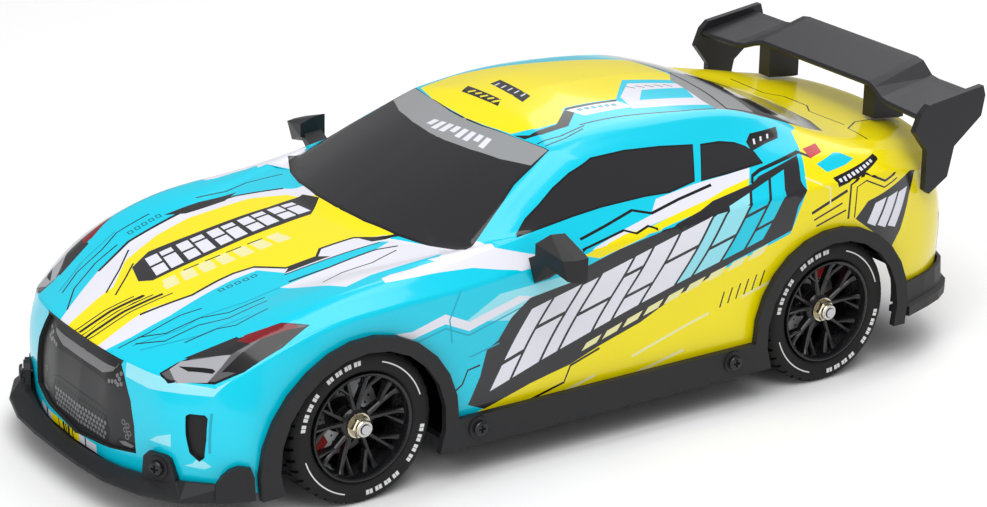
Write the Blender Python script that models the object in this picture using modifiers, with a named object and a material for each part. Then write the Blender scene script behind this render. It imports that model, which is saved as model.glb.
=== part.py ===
"""Remote-controlled drift car, 1:16. +X is the nose, +Y the left side, +Z up, and the tyres stand on z = 0.
Dimensions are in millimetres, and MM turns them into metres as each mesh is made."""

import math

import bmesh
import bpy
import numpy as np
from mathutils import Matrix, Vector

MM = 0.001
GAP = 0.3  # between neighbours that touch or slide

# Wheels
AXLE_X = 87.5  # half the wheelbase
TYRE_R = 24.0
WHEEL_Y = 51.6  # middle plane of a wheel
RIM_R = 16.5
BARREL_WALL = 1.0
SEGMENTS = 28  # around tyre and rim
AXLE_R = 1.5
AXLE_END = 63.2
HUB_R = 5.0
SPOKE_PAIRS = 5
SPOKE_Y = 56.4  # middle of the spokes' depth
SPOKE_WIDTH = 1.4
SPOKE_DEPTH = 2.8

# Suspension and steering
PIVOT_Y = 20.0  # inner hinge of each lower arm
PIVOT_Z = 12.5
KING_Y = 42.0  # steering axis
STEER_ARM = 8.0  # from the steering axis back to the tie rod's pin
TIE_Z = (16.0, 17.8)
FORK_X = 81.9  # open ends of the tie rod, clear of the turning knuckles
SPRING_X = 8.0  # ahead of the axle
SPRING_Y = 31.0
SPRING_R = 3.2
WIRE_R = 0.55
SPRING_Z = (13.9, 37.1)
COILS = 5
SPRING_STEPS = 9

# Body
WALL = 1.3
ARCH_Z = 21.5
ARCH_CUT_R = 29.2
ARCH_LEAN = 3.6  # of the front arch's leading leg
FLARE_R = (27.0, 31.5)
FLARE_LEAN = (2.8, 5.0)
FLARE_Y = (62.4, 64.6)
SILL_Z = (11.0, 20.5)
BOSS_Y = 65.2
BOSS_R = 3.6
BORE_R = 1.3
ARCH_RISE = (26, 31)  # height where that leg starts to spread, and the depth it does so over
SIDE_SCREWS = ((49.1, 16.6), (-46.9, 16.6))
NOSE_SCREW = (141.6, 40.8, 18.0)
NOSE_SCREW_AXIS = (0.89, 0.457, 0.0)
TAB_FACE = (1.4, 3.2, 3.6)  # back and front of the tab round it, and the ring under its head

# Chassis
FLOOR_Z = (9.0, 11.0)
SHAFT_Z = 24.0
SPUR_TEETH = 24
PINION_TEETH = 10
GEAR_MODULE = 0.75
MOTOR_Y = -(SPUR_TEETH + PINION_TEETH) * GEAR_MODULE / 2
SERVO_AXIS = (60.0, 12.0)
DOOR = (-64.0, -12.0, 9.6, 32.2)  # battery opening: x, x, y, y
SWITCH = (-4.0, 6.0, -34.0, -29.0)

# Upper surface, one row per station from nose to tail, each from the shoulder to the middle
TOP = (
    (
        (131.5, 53, 43.2), (138.5, 44.5, 43.6), (142.5, 35, 44.2),
        (145, 22.5, 44.5), (145.8, 12, 44.6), (146, 0, 44.6),
    ),
    ((120.5, 57.5, 49), (124.5, 49, 51.5), (127, 39, 51), (129, 28, 50.6), (130, 15, 50.8), (130, 0, 50.8)),
    ((103, 60, 56.2), (105, 52.5, 59.6), (106, 43, 59), (107, 32, 57.2), (108, 17, 57.2), (108, 0, 57)),
    ((86, 61.3, 58.8), (87, 53.5, 63.6), (88, 44.5, 63.2), (89, 35, 61.2), (90, 18, 61.2), (90, 0, 61)),
    ((58, 61.2, 59.8), (60, 54, 65.6), (64, 48, 65.8), (68, 42, 64.6), (73, 22, 64.2), (74, 0, 64)),
    ((30, 61, 61.6), (29, 55, 69.6), (36, 52.5, 68.6), (44.6, 48.6, 67.1), (58, 25, 65.8), (62, 0, 65.4)),
    ((16, 60.8, 62.4), (14, 54.6, 70.4), (17.5, 48.5, 77), (25.5, 43.2, 78), (31, 23, 79.6), (32.5, 0, 80.2)),
    ((0, 60.6, 63.2), (-1, 54.2, 71), (-1, 44.2, 85.4), (6.4, 36.9, 88), (2.5, 20, 91.4), (1.5, 0, 92.4)),
    ((-18, 60.4, 64), (-19, 53.8, 71.6), (-20, 43, 86), (-16, 37, 90.6), (-18, 20, 93.2), (-18, 0, 94.2)),
    (
        (-38, 60.4, 65), (-38, 53.4, 72.4), (-40, 42.6, 84.8),
        (-38, 36.8, 90.6), (-38, 20, 92.8), (-38, 0, 93.8),
    ),
    ((-62, 61, 66.4), (-62, 53.2, 73.4), (-61, 43.4, 81.4), (-60, 36.2, 89), (-64, 19, 90.6), (-66, 0, 91.2)),
    (
        (-92, 61.3, 67.2), (-92, 54.4, 74), (-86, 45.8, 78.4),
        (-82, 37.2, 83.4), (-88, 20, 82.8), (-90, 0, 82.8),
    ),
    (
        (-108, 60.4, 66.6), (-107, 53.4, 72.8), (-104.5, 46, 75),
        (-101.5, 38.4, 75.8), (-109, 20, 74.2), (-112, 0, 73.8),
    ),
    (
        (-122, 56.6, 64), (-122.5, 51.4, 69), (-124, 45, 71.2),
        (-126, 37.5, 71.9), (-129.5, 20, 72), (-131, 0, 72),
    ),
    (
        (-133, 52, 61.5), (-137.6, 47.4, 64.8), (-141, 41.5, 67.6),
        (-143.6, 35, 69.2), (-146.6, 18, 70.2), (-147.6, 0, 70.5),
    ),
)
# Below the front edge of TOP, from the middle to the corner, four points down each
FRONT = (
    ((147.6, 0, 37), (148.8, 0, 28), (149.4, 0, 19), (149, 0, 12)),
    ((147.4, 12.2, 37), (148.4, 12.5, 28), (148.8, 12.5, 19), (148.4, 12.5, 12)),
    ((146.4, 23.2, 37), (147, 24.5, 28), (147, 25.5, 19), (146.6, 25.5, 12)),
    ((143.6, 36, 37), (144, 37.5, 28), (143.4, 38.5, 19), (142.8, 38.5, 12)),
    ((139.4, 45.8, 37), (139.4, 47.6, 28), (138.2, 49, 19), (137.4, 49, 12)),
)
# Below the shoulder, one per station of TOP
SIDE = (
    ((131.6, 54.2, 37), (131, 56, 28), (129.6, 57.4, 19), (129, 57.4, 12)),
    ((120.5, 59.2, 41), (120, 61, 31), (119.4, 61.6, 20), (119.2, 61.8, 12)),
    ((103, 61.7, 46), (103, 61.9, 34), (103, 61.9, 22), (103, 61.9, 12)),
    ((86, 61.9, 48), (86, 61.9, 36), (86, 61.9, 23), (86, 61.9, 12)),
    ((57.5, 61.8, 50), (56.5, 61.4, 38), (56, 61.6, 24), (55, 61.8, 12)),
    ((30, 61.3, 53), (29, 60, 39), (28, 60.8, 24), (28, 61.4, 12)),
    ((16, 61.1, 53.6), (15, 59.7, 39.4), (14, 60.7, 24), (14, 61.4, 12)),
    ((0, 61, 54), (-1, 59.6, 40), (-2, 60.7, 24), (-2, 61.4, 12)),
    ((-18, 60.9, 54.4), (-19, 59.6, 40), (-20, 60.7, 24), (-20, 61.4, 12)),
    ((-38, 61.1, 55), (-38, 60, 40), (-38, 60.8, 24), (-38, 61.5, 12)),
    ((-62, 61.8, 56), (-62, 61.4, 40), (-62, 61.6, 25), (-62, 61.8, 13)),
    ((-92, 61.9, 56.4), (-92, 61.9, 42), (-92, 61.9, 28), (-92, 61.9, 18)),
    ((-108, 61.8, 55.6), (-108, 61.8, 42), (-108, 61.8, 29), (-108, 61.6, 20)),
    ((-122.5, 58.2, 54), (-123, 59.2, 42), (-123, 59.2, 30), (-122.5, 59, 21.5)),
    ((-135.5, 52.8, 54), (-137.5, 54, 42), (-137.5, 54, 31), (-137, 53.8, 22.5)),
)
# Below the tail edge of TOP, from the corner to the middle
REAR = (
    ((-143, 47.4, 55), (-146, 47.8, 42), (-146, 47.6, 31), (-145.5, 47.4, 22.5)),
    ((-146.5, 41, 56), (-149.2, 41, 42), (-149.2, 41, 31), (-148.7, 41, 22.5)),
    ((-148.4, 34.5, 57), (-150.4, 34.5, 42), (-150.4, 34.5, 31), (-149.9, 34.5, 22.5)),
    ((-149.6, 18, 57.5), (-150.6, 18, 42), (-150.6, 18, 31), (-150.2, 18, 22.5)),
    ((-149.9, 0, 57.6), (-150.7, 0, 42), (-150.7, 0, 31), (-150.3, 0, 22.5)),
)
ROW_CREASES = (5, 7)  # foot and head of the windscreen
COLUMN_CREASES = (1, 2, 3)  # foot and head of the side windows, roof edge
HEADLIGHT = (
    (141.8, 38.5, 46.4), (140.8, 42, 43.6), (130.8, 52, 43.6), (124.8, 57, 49.2), (113, 58.8, 54.4),
    (103, 57.4, 58.4), (110, 52.6, 59.6), (125, 46, 54.6), (136.8, 40, 49.4),
)
HEADLIGHT_AXIS = (0.45, 0.45, 0.77)
# y, z of the left half of the grille
GRILLE = ((22.5, 44), (25, 40.5), (29, 34), (30.8, 27), (31.3, 18.4), (20, 16.6), (0, 14.4))

# Black trim around the foot of the body: plan points, each with the lip's reach at its foot
LIP_PLAN = (
    (149.6, 0, 6.6), (149, 12.5, 7), (147.2, 25.5, 7.8), (143.5, 38.5, 7.6),
    (138.3, 49, 6.4), (129.6, 57.6, 3.2), (124.1, 60.2, 2.4),
)
LIP_IN = 0.85  # clear of the body's foot
TAIL_PLAN = (
    (-119.4, 60.6, 3.6), (-123, 59.4, 3.6), (-130.6, 57, 3.6), (-137.6, 54.2, 3.6), (-142.6, 51, 3.6),
    (-146.1, 47.6, 3.6), (-149.2, 41, 3.5), (-150.5, 34.5, 3.4), (-150.7, 18, 3.4), (-150.7, 0, 3.4),
)

# Wing: y, z of the leading edge, z of the trailing edge, x of both
BLADE = (
    (0, 85.4, 90.8, -129.5, -150), (27.5, 85.4, 90.8, -129.5, -150), (31, 84.4, 90.2, -129, -150),
    (36, 82.4, 86.6, -128, -149.6), (39.5, 82, 86.2, -127.6, -149.4), (57, 82, 86.2, -126, -149.2),
)
BLADE_THICK = 1.8
ENDPLATE = (
    (-128.5, 85.4), (-151.7, 88.4), (-152.8, 85), (-151.6, 78.2), (-140.6, 69.6), (-138.4, 59.6),
    (-130.8, 54.9), (-128.9, 56.4), (-128.8, 69.8), (-123.1, 77), (-125.6, 83),
)
ENDPLATE_Y = (56, 58.3)
STRUT = ((-130.4, 72.9), (-130.4, 84.4), (-141, 87), (-143.4, 84), (-143.4, 71.6), (-141, 71.6))
STRUT_Y = (24.4, 30)

MIRROR = (
    (31.4, 66.5, 71.6), (31.4, 66.5, 67.2), (30.4, 74, 69.8), (29.2, 74, 64.8), (29.6, 78, 69.3),
    (27.8, 78, 62.6), (25.8, 79.5, 69.2), (24.4, 79.2, 61.7), (26, 66.5, 73.4), (21.5, 67.5, 73.3),
    (21.5, 67.5, 63), (21.5, 79.5, 69.3), (21.5, 79.2, 61.8),
)
MIRROR_STALK = (
    (30.5, 61.9, 65.5), (28.2, 61.9, 57), (23, 61.9, 65.5), (22.6, 61.9, 57.5),
    (29.5, 70, 70), (29.5, 70, 66.6), (23.5, 70, 70), (23.5, 70, 63),
)

# Flat outlines of small pieces: x, y from the axle or servo axis, distance along the foot and z of the
# splitter's fin and of the tab round its screw, y, z of the battery
ARM = (
    (-10.5, 19), (10.5, 19), (10.5, 23.5), (12.5, 28), (12.5, 33.5),
    (3.5, 40), (3.5, 45), (-3.5, 45), (-3.5, 40), (-10.5, 33),
)
TOWER = ((4, -34.8), (9.5, -34.8), (12, -33), (12, 33), (9.5, 34.8), (4, 34.8))
HORN = ((-3, -3), (-3, 3), (1, 3.2), (8, 1.8), (9.6, 1), (9.6, -1), (8, -1.8), (1, -3.2))
FIN = ((0, 10.6), (0.2, 15.8), (1.8, 18.4), (4.2, 20.4), (6.8, 21.2), (10.4, 20.4), (11.4, 17.6), (11.6, 10.6))
FIN_FOOT = ((134.4, 56.9, 0), (123.6, 61.2, 0))
FIN_THICK = 1.9
TAB = ((-5.5, 10.6), (-5.5, 15.8), (-5, 20.5), (-3.6, 22), (2.2, 21.8), (3.9, 21), (5.8, 15.9), (6.2, 10.6))
PACK = (
    (10.6, 12.4), (12, 11.3), (29.8, 11.3), (31.2, 12.4),
    (31.2, 26.6), (29.8, 28), (12, 28), (10.6, 26.6),
)
# Left half of the floor, past the middle line so that the mirror can cut it there
FLOOR = (
    (126, -5), (126, 17), (60, 17), (54, 30), (54, 57), (-57, 57), (-57, 30), (-62, 17), (-118, 17),
    (-122, 30), (-138, 30), (-138, -5),
)

SKINS = {
    "body_paint": ((0.02, 0.68, 0.85), 0.18, 0.0),
    "black_trim": ((0.03, 0.03, 0.035), 0.6, 0.0),
    "grille_grey": ((0.09, 0.09, 0.1), 0.35, 0.0),
    "lamp_smoke": ((0.2, 0.2, 0.22), 0.1, 0.0),
    "wing_grey": ((0.06, 0.06, 0.07), 0.5, 0.0),
    "screw_black": ((0.02, 0.02, 0.02), 0.3, 0.8),
    "tyre_rubber": ((0.02, 0.02, 0.02), 0.8, 0.0),
    "rim_black": ((0.015, 0.015, 0.018), 0.3, 0.2),
    "nut_brass": ((0.8, 0.62, 0.32), 0.25, 1.0),
    "axle_steel": ((0.6, 0.6, 0.62), 0.3, 1.0),
    "caliper_red": ((0.6, 0.02, 0.02), 0.3, 0.0),
    "chassis_nylon": ((0.04, 0.04, 0.045), 0.6, 0.0),
    "spring_steel": ((0.75, 0.75, 0.78), 0.25, 1.0),
    "gearbox_nylon": ((0.07, 0.07, 0.08), 0.55, 0.0),
    "motor_can": ((0.7, 0.7, 0.72), 0.3, 1.0),
    "gear_nylon": ((0.85, 0.83, 0.75), 0.5, 0.0),
    "battery_wrap": ((0.05, 0.12, 0.45), 0.35, 0.0),
    "servo_case": ((0.05, 0.05, 0.06), 0.45, 0.0),
    "board_green": ((0.02, 0.22, 0.08), 0.4, 0.0),
    "switch_red": ((0.7, 0.05, 0.03), 0.4, 0.0),
}


# ---------------------------------------------------------------- scene and shape helpers
for old in list(bpy.data.objects):
    bpy.data.objects.remove(old)
PARTS = bpy.data.collections.new("rc_drift_car")
CUTTERS = bpy.data.collections.new("cutters")
for made in (PARTS, CUTTERS):
    bpy.context.scene.collection.children.link(made)
CUTTERS.hide_render = True

WELD = 1e-4
SHARP = math.radians(35)
SIDES = ((1, "left"), (-1, "right"))
AXLES = ((AXLE_X, "front"), (-AXLE_X, "rear"))
# How a flat outline's own x, y and z lie in the car when it is carried along each axis
ALONG = {
    "x": Matrix(((0, 0, 1), (1, 0, 0), (0, 1, 0))),
    "y": Matrix(((1, 0, 0), (0, 0, -1), (0, 1, 0))),
    "z": Matrix.Identity(3),
}


def skin(name):
    """The Principled material of this name."""
    found = bpy.data.materials.get(name)
    if found:
        return found
    colour, rough, metal = SKINS[name]
    made = bpy.data.materials.new(name)
    made.use_nodes = True
    shader = made.node_tree.nodes["Principled BSDF"]
    shader.inputs["Base Color"].default_value = (*colour, 1)
    shader.inputs["Roughness"].default_value = rough
    shader.inputs["Metallic"].default_value = metal
    made.diffuse_color = (*colour, 1)
    return made


def placed(name, data, material=None, origin=(0, 0, 0)):
    """An object with its origin at a point. Without a material it is a cutter, and isn't rendered."""
    obj = bpy.data.objects.new(name, data)
    obj.location = Vector(origin) * MM
    if material:
        data.materials.append(skin(material))
        PARTS.objects.link(obj)
    else:
        CUTTERS.objects.link(obj)
        obj.hide_render = True
        obj.display_type = "WIRE"
    return obj


def solid(name, work, material=None, origin=(0, 0, 0), closed=True):
    """The object of a bmesh drawn in world millimetres."""
    if closed:
        bmesh.ops.recalc_face_normals(work, faces=work.faces)
    to_origin = Matrix.Scale(MM, 4) @ Matrix.Translation(-Vector(origin))
    bmesh.ops.transform(work, matrix=to_origin, verts=work.verts)
    mesh = bpy.data.meshes.new(name)
    work.to_mesh(mesh)
    work.free()
    mesh.shade_smooth()
    mesh.set_sharp_from_angle(angle=SHARP)
    return placed(name, mesh, material, origin)


def block(name, corner, other, material=None, origin=(0, 0, 0)):
    """A box between two opposite corners."""
    low, high = (Vector(map(pick, corner, other)) for pick in (min, max))
    work = bmesh.new()
    bmesh.ops.create_cube(work, size=1, matrix=Matrix.LocRotScale((low + high) / 2, None, high - low))
    return solid(name, work, material, origin)


def beam(name, start, end, width, depth):
    """A straight bar between two points of one y, as deep as depth along y."""
    start, end = Vector(start), Vector(end)
    turn = Vector((1, 0, 0)).rotation_difference(end - start)
    size = ((end - start).length, depth, width)
    work = bmesh.new()
    bmesh.ops.create_cube(work, size=1, matrix=Matrix.LocRotScale((start + end) / 2, turn, size))
    return solid(name, work)


def cylinder(name, radius, start, end, material=None, origin=(0, 0, 0), segments=12):
    """A cylinder between the middles of its two ends."""
    start, end = Vector(start), Vector(end)
    turn = Vector((0, 0, 1)).rotation_difference(end - start)
    work = bmesh.new()
    bmesh.ops.create_cone(
        work, cap_ends=True, segments=segments, radius1=radius, radius2=radius, depth=(end - start).length,
        matrix=Matrix.LocRotScale((start + end) / 2, turn, None),
    )
    return solid(name, work, material, origin)


def turned(name, profile, origin, way, material=None, steps=12, ring=False):
    """(radius, distance) points, down the outer side, spun about an axis; a ring's profile is closed."""
    mesh = bpy.data.meshes.new(name)
    count = len(profile)
    edges = [(i, (i + 1) % count) for i in range(count if ring else count - 1)]
    mesh.from_pydata([(radius * MM, 0, distance * MM) for radius, distance in profile], edges, [])
    obj = placed(name, mesh, material, origin)
    obj.rotation_mode = "QUATERNION"
    obj.rotation_quaternion = Vector((0, 0, 1)).rotation_difference(Vector(way))
    spin = obj.modifiers.new("spin", "SCREW")
    spin.axis = "Z"
    spin.steps = steps
    spin.render_steps = steps
    spin.use_merge_vertices = True
    spin.merge_threshold = 1e-5
    spin.use_smooth_shade = True
    return obj


def flat(name, outline, low, high, axis="y", material=None, origin=(0, 0, 0), across=None):
    """An outline carried from low to high: (x, z) along y, (x, y) along z, (y, z) along x, or in a frame."""
    curve = bpy.data.curves.new(name, "CURVE")
    curve.dimensions = "2D"
    curve.fill_mode = "BOTH"
    curve.extrude = abs(high - low) / 2
    line = curve.splines.new("POLY")
    line.points.add(len(outline) - 1)
    for point, (u, v) in zip(line.points, outline):
        point.co = (u, v, 0, 1)
    line.use_cyclic_u = True
    drawn = bpy.data.objects.new(name, curve)
    mesh = bpy.data.meshes.new_from_object(drawn)
    bpy.data.objects.remove(drawn)
    bpy.data.curves.remove(curve)
    work = bmesh.new()
    work.from_mesh(mesh)
    bpy.data.meshes.remove(mesh)
    bmesh.ops.remove_doubles(work, verts=work.verts, dist=WELD)
    turn = (across or ALONG[axis]).to_4x4()
    middle = Matrix.Translation(Vector((0, 0, (low + high) / 2)))
    if axis == "y" and not across:
        middle = Matrix.Translation(Vector((0, 0, -(low + high) / 2)))
    bmesh.ops.transform(work, matrix=turn @ middle, verts=work.verts)
    return solid(name, work, material, origin)


def loft(name, rings, material, open_start=False):
    """A skin through rings of unlike sections, closed at its ends unless the first lies on the mirror plane."""
    work = bmesh.new()
    made = [[work.verts.new(p) for p in ring] for ring in rings]
    for near, far in zip(made, made[1:]):
        for j in range(len(near)):
            k = (j + 1) % len(near)
            work.faces.new((near[j], near[k], far[k], far[j]))
    work.faces.new(made[-1])
    if not open_start:
        work.faces.new(made[0])
    return solid(name, work, material)


def hull(name, points, material=None):
    """The convex hull of a few corners."""
    work = bmesh.new()
    for point in points:
        work.verts.new(point)
    bmesh.ops.convex_hull(work, input=work.verts)
    return solid(name, work, material)


def mirror(obj, bisect=False):
    """The other half of an object drawn on the left side."""
    both = obj.modifiers.new("mirror", "MIRROR")
    both.use_axis = (False, True, False)
    both.use_bisect_axis = (False, bisect, False)
    both.use_mirror_merge = True
    both.merge_threshold = 1e-5
    return obj


def change(obj, operation, *others):
    """Boolean modifiers, one per operand."""
    for other in others:
        cut = obj.modifiers.new(other.name, "BOOLEAN")
        cut.operation = operation
        cut.solver = "EXACT"
        cut.object = other
    return obj


def circle(radius, count, phase=0.0):
    steps = [phase + 2 * math.pi * i / count for i in range(count)]
    return [(radius * math.cos(a), radius * math.sin(a)) for a in steps]


def mirrored(points):
    return [(x, -y, z) for x, y, z in points]


def leaned(u, v, lean):
    """A point of an arch, measured from its centre, its front leg spread forward by lean near the foot."""
    spread = max(0, (ARCH_RISE[0] - v) / ARCH_RISE[1]) if u > 0 else 0
    return u + lean * spread, v


def arc(centre_x, radius, start_z, end_z, count, lean=0):
    """Points over a wheel arch, from the front foot at start_z to the rear foot at end_z."""
    first = math.asin((start_z - ARCH_Z) / radius)
    last = math.pi - math.asin((end_z - ARCH_Z) / radius)
    steps = [first + (last - first) * i / count for i in range(count + 1)]
    spread = [leaned(radius * math.cos(a), radius * math.sin(a), lean) for a in steps]
    return [(centre_x + u, ARCH_Z + v) for u, v in spread]


def standing(name, outline, start, along, low, high, side):
    """An upright plate on a slant in plan, its outline measured along its foot from the start."""
    way = Vector(along).normalized()
    up = Vector((0, 0, 1))
    face = way.cross(up)
    frame = Matrix.Diagonal((1, side, 1)) @ Matrix((way, up, face)).transposed()
    where = Vector(start)
    moved = [(where.dot(way) + u, v) for u, v in outline]
    return flat(name, moved, where.dot(face) + low, where.dot(face) + high, across=frame)


# ---------------------------------------------------------------- body surface
def bends(knots, points):
    """Second derivatives of a natural cubic spline."""
    count = len(knots)
    found = np.zeros_like(points)
    if count < 3:
        return found
    step = np.diff(knots)
    matrix = np.zeros((count - 2, count - 2))
    right = np.zeros((count - 2, points[0].size))
    level = points.reshape(count, -1)
    for i in range(1, count - 1):
        matrix[i - 1, i - 1] = 2 * (step[i - 1] + step[i])
        if i > 1:
            matrix[i - 1, i - 2] = step[i - 1]
        if i < count - 2:
            matrix[i - 1, i] = step[i]
        right[i - 1] = 6 * ((level[i + 1] - level[i]) / step[i] - (level[i] - level[i - 1]) / step[i - 1])
    found[1:-1] = np.linalg.solve(matrix, right).reshape(points[1:-1].shape)
    return found


def spline(knots, points, wanted, creases=()):
    """Points of a natural cubic spline at the wanted parameters; it bends sharply at each crease."""
    out = np.zeros((len(wanted), *points.shape[1:]))
    ends = [0, *creases, len(knots) - 1]
    for a, b in zip(ends, ends[1:]):
        t, p = knots[a : b + 1], points[a : b + 1]
        bend = bends(t, p)
        for k, w in enumerate(wanted):
            if not t[0] - 1e-9 <= w <= t[-1] + 1e-9:
                continue
            i = min(max(int(np.searchsorted(t, w)) - 1, 0), len(t) - 2)
            step = t[i + 1] - t[i]
            u, v = (t[i + 1] - w) / step, (w - t[i]) / step
            curve = ((u**3 - u) * bend[i] + (v**3 - v) * bend[i + 1]) * step * step / 6
            out[k] = u * p[i] + v * p[i + 1] + curve
    return out


def lengths(grid):
    """Mean distance along the first axis of a grid of points, as spline knots."""
    steps = np.linalg.norm(np.diff(grid, axis=0), axis=-1).mean(axis=1)
    return np.concatenate([[0], np.cumsum(steps)])


def halved(knots):
    return np.sort(np.concatenate([knots, (knots[:-1] + knots[1:]) / 2]))


def body_surface():
    """Left half of the body as two grids that share the shoulder: the top, and the band below it."""
    top = np.array(TOP, float)
    along, across = lengths(top), lengths(top.transpose(1, 0, 2))
    fine = halved(along)
    sheet = spline(along, top, fine, ROW_CREASES)
    chain = np.array((*FRONT, *SIDE, *REAR), float)
    front = across[-1] - across[::-1]
    knots = np.concatenate([front[:-1], front[-1] + along, front[-1] + along[-1] + across[1:]])
    wanted = np.concatenate([front[:-1], front[-1] + fine, front[-1] + along[-1] + across[1:]])
    lower = spline(knots, chain, wanted)
    rim = np.concatenate([sheet[0, :0:-1], sheet[:, 0], sheet[-1, 1:]])
    return sheet, np.concatenate([rim[:, None], lower], axis=1)


def body_skin():
    """Left half of the outer skin as one open mesh that faces outwards."""
    work = bmesh.new()
    for grid in body_surface():
        rows = [[work.verts.new(p) for p in row] for row in grid.tolist()]
        for near, far in zip(rows, rows[1:]):
            for j in range(len(near) - 1):
                work.faces.new((near[j], near[j + 1], far[j + 1], far[j]))
    bmesh.ops.remove_doubles(work, verts=work.verts, dist=0.01)
    bmesh.ops.recalc_face_normals(work, faces=work.faces)
    if sum(f.normal.z * f.calc_area() for f in work.faces) < 0:
        bmesh.ops.reverse_faces(work, faces=work.faces)
    return work


def body_piece(name, material):
    """A wall of the body's thickness, ready to be cut."""
    obj = mirror(solid(name, body_skin(), material, closed=False))
    wall = obj.modifiers.new("wall", "SOLIDIFY")
    wall.thickness = WALL * MM
    wall.offset = -1
    wall.use_even_offset = True
    return obj


def grown(outline, by):
    """A closed outline moved outward by a distance, for outlines that run either way round."""
    count = len(outline)
    pairs = zip(outline, outline[1:] + outline[:1])
    sign = 1 if sum(a[0] * b[1] - b[0] * a[1] for a, b in pairs) > 0 else -1
    out = []
    for i in range(count):
        p, q, r = (Vector(outline[(i + k) % count]) for k in (-1, 0, 1))
        a, b = (q - p).normalized(), (r - q).normalized()
        left, right = Vector((a.y, -a.x)) * sign, Vector((b.y, -b.x)) * sign
        mean = left + right
        out.append(tuple(q + mean * (by / max(0.35, mean.dot(left)))))
    return out


def lamp_form(name, side, by):
    """The headlight's outline, grown, carried through the wall along the lamp's own axis."""
    way = Vector(HEADLIGHT_AXIS).normalized()
    first = way.cross(Vector((0, 0, 1))).normalized()
    second = way.cross(first)
    outline = [(Vector(p).dot(first), Vector(p).dot(second)) for p in HEADLIGHT]
    middle = sum(Vector(p).dot(way) for p in HEADLIGHT) / len(HEADLIGHT)
    frame = Matrix.Diagonal((1, side, 1)) @ Matrix((first, second, way)).transposed()
    return flat(name, grown(outline, by), middle - 16, middle + 12, across=frame)


shell = body_piece("body_shell", "body_paint")
for axle, where in AXLES:
    lean = ARCH_LEAN if axle > 0 else 0
    spread = [leaned(u, v, lean) for u, v in circle(ARCH_CUT_R, 36)]
    outline = [(axle + u, ARCH_Z + v) for u, v in spread]
    for side, hand in SIDES:
        change(shell, "DIFFERENCE", flat(f"arch_{where}_{hand}", outline, side * 50, side * 70))
for side, hand in SIDES:
    change(shell, "DIFFERENCE", lamp_form(f"lamp_hole_{hand}", side, GAP / 2))
    lamp = body_piece(f"headlight_{hand}", "lamp_smoke")
    change(lamp, "INTERSECT", lamp_form(f"lamp_form_{hand}", side, -GAP / 2))
grille_outline = [*GRILLE, *((-y, z) for y, z in GRILLE[-2::-1])]
change(shell, "DIFFERENCE", flat("grille_hole", grown(grille_outline, GAP / 2), 120, 160, "x"))
grille = body_piece("front_grille", "grille_grey")
change(grille, "INTERSECT", flat("grille_form", grown(grille_outline, -GAP / 2), 121, 161, "x"))


# ---------------------------------------------------------------- black trim, mirrors, wing and screws
def band(name, plan, section, top_at):
    """A strip round the body's foot: its left half, drawn from the middle outwards, and the mirror of it."""
    rings = []
    for i, (x, y, reach) in enumerate(plan):
        if y == 0:
            out = Vector((math.copysign(1, x), 0))
        else:
            before, after = plan[i - 1], plan[min(i + 1, len(plan) - 1)]
            along = Vector((after[0] - before[0], after[1] - before[1])).normalized()
            out = Vector((along.y, -along.x))
            out = out if out.dot(Vector((x, y))) > 0 else -out
        rings.append([(x + out.x * d, y + out.y * d, z) for d, z in section(reach, top_at(abs(x)))])
    return mirror(loft(name, rings, "black_trim", open_start=True))


def lip_section(reach, top):
    """Floor, outer face and sloping top of the front lip."""
    return (
        (LIP_IN, top), (LIP_IN, 11.4), (-9, 11.4), (-9, 10), (reach - 0.6, 10),
        (reach, 10.6), (reach - 0.3, 11.5), (LIP_IN + 1, top),
    )


def tail_section(reach, top):
    """Upright band with a stepped flange below it."""
    foot = 16.4
    return (
        (0.4, top), (0.4, foot + 2), (-4, foot + 2), (-4, foot), (reach, foot),
        (reach, foot + 3), (reach - 1.6, foot + 3.8), (1.6, top),
    )


def screw(name, spot, way, head, reach):
    """A pan-head screw along a direction; head is where its underside sits."""
    profile = (
        (0, head + 1.1), (1.5, head + 1.1), (2.3, head + 0.6), (2.3, head), (0.95, head),
        (0.95, -reach), (0, -reach),
    )
    turned(name, profile, spot, way, "screw_black")


splitter = band("front_splitter", LIP_PLAN, lip_section, lambda x: 15.2 - 0.26 * max(0, x - 138.8))
for side, hand in SIDES:
    spot = Vector((NOSE_SCREW[0], NOSE_SCREW[1] * side, NOSE_SCREW[2]))
    way = Vector((NOSE_SCREW_AXIS[0], NOSE_SCREW_AXIS[1] * side, 0)).normalized()
    level = (*NOSE_SCREW[:2], 0)
    tab_way = (-NOSE_SCREW_AXIS[1], NOSE_SCREW_AXIS[0], 0)
    fin_way = Vector(FIN_FOOT[1]) - Vector(FIN_FOOT[0])
    change(
        splitter, "UNION",
        standing(f"tab_{hand}", TAB, level, tab_way, TAB_FACE[0], TAB_FACE[1], side),
        cylinder(f"boss_{hand}", BOSS_R, spot + way * TAB_FACE[0], spot + way * TAB_FACE[2]),
        standing(f"fin_{hand}", FIN, FIN_FOOT[0], fin_way, 0, FIN_THICK, side),
    )
    bore = cylinder(f"nose_bore_{hand}", BORE_R, spot - way * 8, spot + way * 12)
    change(splitter, "DIFFERENCE", bore)
    change(shell, "DIFFERENCE", bore)
    screw(f"screw_nose_{hand}", spot, way, TAB_FACE[2] + GAP, 4)
band("rear_valance", TAIL_PLAN[::-1], tail_section, lambda x: 27.2)

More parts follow.
